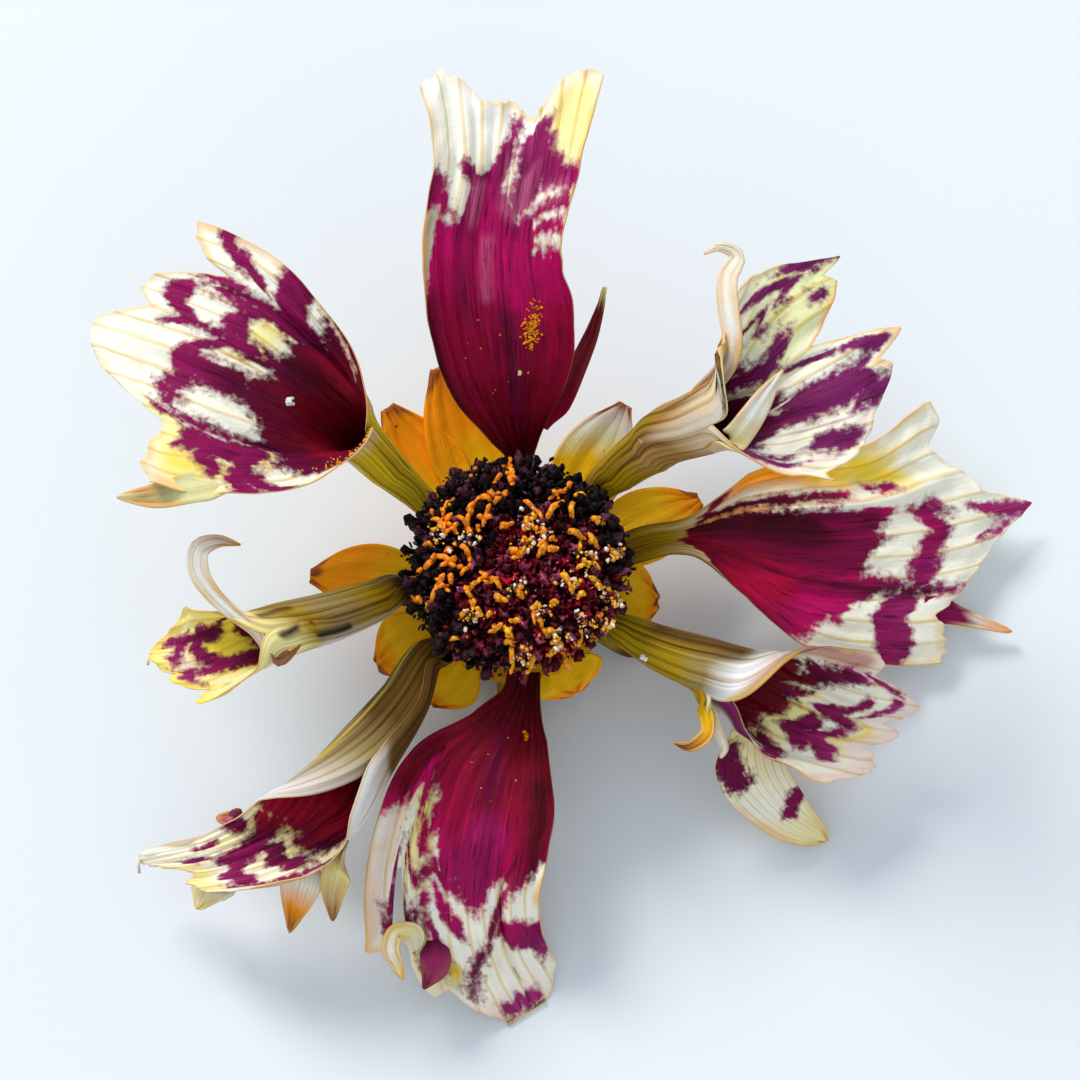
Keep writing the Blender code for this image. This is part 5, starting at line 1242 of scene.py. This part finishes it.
def crumbPart(look, draw):
    # anther bits and broken scales: small crushed grains between and on the florets
    m, rings, sides = look["bits"], 5, 5
    spread = 4.5 * np.sqrt(draw.random(m))
    angle = draw.uniform(0, 2 * math.pi, m)
    x, y = spread * np.cos(angle), spread * np.sin(angle)
    foot, lean = domeFrame(look, x, y)
    near = nearBuds(look, x, y, draw)
    way = unitOf(lean + 0.9 * draw.normal(size=(m, 3)))
    base = foot + lean * draw.uniform(0.15, 0.62, (m, 1))
    t = np.linspace(-0.5, 0.5, rings)
    size = draw.uniform(0.14, 0.42, (m, 1, 1))
    bend = unitOf(draw.normal(size=(m, 1, 3))) * 0.08 * (t ** 2)[None, :, None]
    path = base[:, None] + way[:, None] * t[None, :, None] * size + bend
    shape = np.array([0.25, 0.8, 1.0, 0.8, 0.2])[None, :, None]
    radii = shape * draw.uniform(0.6, 1.3, (m, rings, sides)) * draw.uniform(0.04, 0.10, (m, 1, 1))
    tint = witheredTint(near, (1.2, 1.8), (0.3, 1.8), 0.3, draw)
    return strandParts(path, radii, sides, 4, {"tint": tint})


def stylePart(look, draw):
    # styles: orange threads that lie in a curl over the florets, some of them with a second arm;
    # heading = first heading + bend x (share of the length - 0.3), and each step follows it
    table = np.array(look["styles"], float)
    count, rings, sides = look["stubs"], 9, 8
    radius = 4.5 * np.sqrt(draw.random(count))
    angle = draw.uniform(0, 2 * math.pi, count)
    stubs = np.stack([radius * np.cos(angle), radius * np.sin(angle), draw.uniform(0, 180, count),
                      draw.uniform(0.3, 0.7, count), draw.uniform(-90, 90, count)], -1)
    table = np.concatenate([table, stubs])
    forked = table[::3].copy()
    forked[:, 2] += 75
    forked[:, 3] *= 0.55
    forked[:, 4] *= -1
    table = np.concatenate([table, forked])
    n = len(table)
    foot = domeFrame(look, table[:, 0], table[:, 1])[0]
    t = np.linspace(0, 1, rings)
    degrees = table[:, 2, None] + table[:, 4, None] * (t[None, :] - 0.3) + 18 * draw.normal(size=(n, 1))
    heading = np.radians(degrees)
    stride = (table[:, 3] / (rings - 1))[:, None, None]
    step = np.stack([np.cos(heading), np.sin(heading), 0 * heading], -1) * stride
    flat = np.cumsum(step, axis=1) - step[:, :1]
    flat = flat - flat.mean(axis=1, keepdims=True) * 0.9
    px, py = foot[:, None, 0] + flat[..., 0], foot[:, None, 1] + flat[..., 1]
    reach = np.hypot(px, py)
    wave = 0.20 * np.sin(2.4 * math.pi * t[None, :] + draw.uniform(0, 6.28, (n, 1)))
    pz = domeHeight(look, np.minimum(reach, 4.7)) + 0.75 + wave - 0.35 * ease(4.0, 5.0, reach)
    thick = np.interp(t, [0, 0.08, 0.5, 0.92, 1.0], [0.05, 0.10, 0.12, 0.12, 0.05])[None, :, None]
    radii = thick * draw.uniform(0.8, 1.2, (n, rings, sides)) * draw.uniform(0.75, 1.15, (n, 1, 1))
    sunny = ease(-2.0, 2.0, table[:, :1] - table[:, 1:2]) * draw.uniform(0.3, 1.0, (n, 1))
    tint = blended(tone("orange"), tone("gold"), sunny) * draw.uniform(0.85, 1.15, (n, 1))
    return strandParts(np.stack([px, py, pz], -1), radii, sides, 6, {"tint": tint})


def pollenPart(look, draw):
    # pollen and glassy crumbs in small clusters among the styles; a grain is the first colour whose
    # share is more than its draw, and soot where none is; the milk-white grains are partly painted glints
    centres = np.repeat(np.array(look["sparkles"]), look["clusterSize"], axis=0)
    centres = centres + draw.normal(0, 0.2, centres.shape)
    centres = centres * np.minimum(1, look["pollenRadius"] / np.hypot(*centres.T))[:, None]
    spots, leans = domeFrame(look, centres[:, 0], centres[:, 1])
    spots = spots + leans * draw.uniform(0.6, 1.0, (len(spots), 1))
    pick = draw.random((len(spots), 1))
    tints = tone("soot")
    for name, share in look["pollenShares"][::-1]:
        tints = np.where(pick < share, tone(name), tints)
    return grainPart(spots, draw.uniform(0.03, 0.13, len(spots)), tints, 8)


styleFinish = {"bump": 0.7, "depth": 0.00006, "rough": (0.4, 0.6), "gloss": 0.4}
pollenFinish = {"bump": 0.7, "depth": 0.00006, "rough": (0.15, 0.35), "gloss": 0.8}


def grainPaper(name, finish):
    # Styles and pollen: their own tint, darker and redder in the hollows of a fine grain as painted shade.
    material, tree, surface = newMaterial(name)
    grain = noiseOf(tree, objectPlace(tree), 6500.0, 2.0)
    tint = attributeOf(tree, "tint")
    # painted shade: the tint darkened where the grain, which is also the bump, is low
    deep = timesColour(tree, tint, (0.72, 0.45, 0.30))
    colour = blendOf(tree, stepOf(tree, grain, 0.40, 0.62), deep, tint)
    finishSurface(tree, surface, colour, grain, grain, finish)
    return material


def buildDisc(look):
    # core, florets and crumbs as one piece, then the styles and the pollen; one row of draws for all
    draw = np.random.default_rng(21)
    parts = [corePart(look), floretPart(look, draw), crumbPart(look, draw)]
    piece = pieceFrom("disc_florets", parts, floretPaper(), ["disc_florets"])
    print("disc florets", len(piece.data.polygons), "faces")
    threads = stylePart(look, draw)
    pieceFrom("disc_styles", [threads], grainPaper("driedStyle", styleFinish))
    pollen = pollenPart(look, draw)
    # pollen grains, the milk-white ones partly painted glints
    pieceFrom("disc_pollen_glints", [pollen], grainPaper("pollenGlintGrain", pollenFinish))
    print("disc styles and pollen done")


buildDisc(disc)


# The camera looks down from the photograph's side. It aims at `height` over the table, moved to the
# right and up in the picture by `aside` and `rise`.
view = {"elevation": 75.0, "distance": 230.0, "lens": 180.2, "aside": 1.02, "rise": 0.55, "height": 10.5}


def placeCamera(look):
    # the camera stands at aim - distance x the way it looks
    angle = math.radians(look["elevation"])
    ahead = np.array([0.0, math.cos(angle), -math.sin(angle)])
    rise = np.array([0.0, math.sin(angle), math.cos(angle)])
    aim = np.array([0.0, 0.0, look["height"]]) + look["aside"] * np.array([1.0, 0, 0]) + look["rise"] * rise
    camera = bpy.data.cameras.new("photoCamera")
    camera.lens, camera.sensor_width = look["lens"], 36.0
    camera.clip_start, camera.clip_end = 0.01, 10.0
    holder = bpy.data.objects.new("photoCamera", camera)
    holder.location = ((aim - look["distance"] * ahead) * mm + headAxis).tolist()
    holder.rotation_euler = (math.radians(90.0 - look["elevation"]), 0.0, 0.0)
    bpy.context.scene.collection.objects.link(holder)
    bpy.context.scene.camera = holder


# Sizes and places of the table and of the lights are in metres.
paleTable = {"half": 0.9, "cool": (0.74, 0.775, 0.81, 1), "light": (0.77, 0.805, 0.84, 1), "rough": 0.85,
             "gloss": 0.15}


def placeTable(look):
    # a flat square under the head, between two pale tones
    half = look["half"]
    corners = [(-half, -half, 0), (half, -half, 0), (half, half, 0), (-half, half, 0)]
    mesh = bpy.data.meshes.new("paleTable")
    mesh.from_pydata(corners, [], [(0, 1, 2, 3)])
    floor = bpy.data.objects.new("paleTable", mesh)
    bpy.context.scene.collection.objects.link(floor)
    material, tree, surface = newMaterial("paleCard")
    soft = noiseOf(tree, objectPlace(tree), 18.0, 2.0)
    tree.links.new(blendOf(tree, soft, look["cool"], look["light"]), surface.inputs["Base Color"])
    surface.inputs["Roughness"].default_value = look["rough"]
    surface.inputs["Specular IOR Level"].default_value = look["gloss"]
    mesh.materials.append(material)


lamps = {"keyWindow": {"place": (-0.32, 0.48, 0.48), "size": 0.26, "power": 4.4},
         "softFill": {"place": (0.1, -0.3, 0.35), "size": 0.4, "power": 0.25}}
lampColour = (1.0, 0.975, 0.94)
skyColour, skyStrength = (0.82, 0.91, 1.0, 1.0), 0.72


def placeLights(looks):
    # an even sky, and square lamps that face the middle of the table
    world = bpy.data.worlds.new("studio")
    world.use_nodes = True
    background = world.node_tree.nodes["Background"]
    background.inputs[0].default_value = skyColour
    background.inputs[1].default_value = skyStrength
    bpy.context.scene.world = world
    for name, look in looks.items():
        lamp = bpy.data.lights.new(name, "AREA")
        lamp.shape, lamp.size, lamp.energy, lamp.color = "SQUARE", look["size"], look["power"], lampColour
        holder = bpy.data.objects.new(name, lamp)
        holder.location = look["place"]
        dx, dy, dz = -np.array(look["place"])
        holder.rotation_euler = (math.atan2(math.hypot(dx, dy), -dz), 0.0, math.atan2(dy, dx) - math.pi / 2)
        bpy.context.scene.collection.objects.link(holder)


placeCamera(view)
placeTable(paleTable)
placeLights(lamps)
bpy.context.scene.view_settings.view_transform = "Standard"
print("stage, camera and light done")
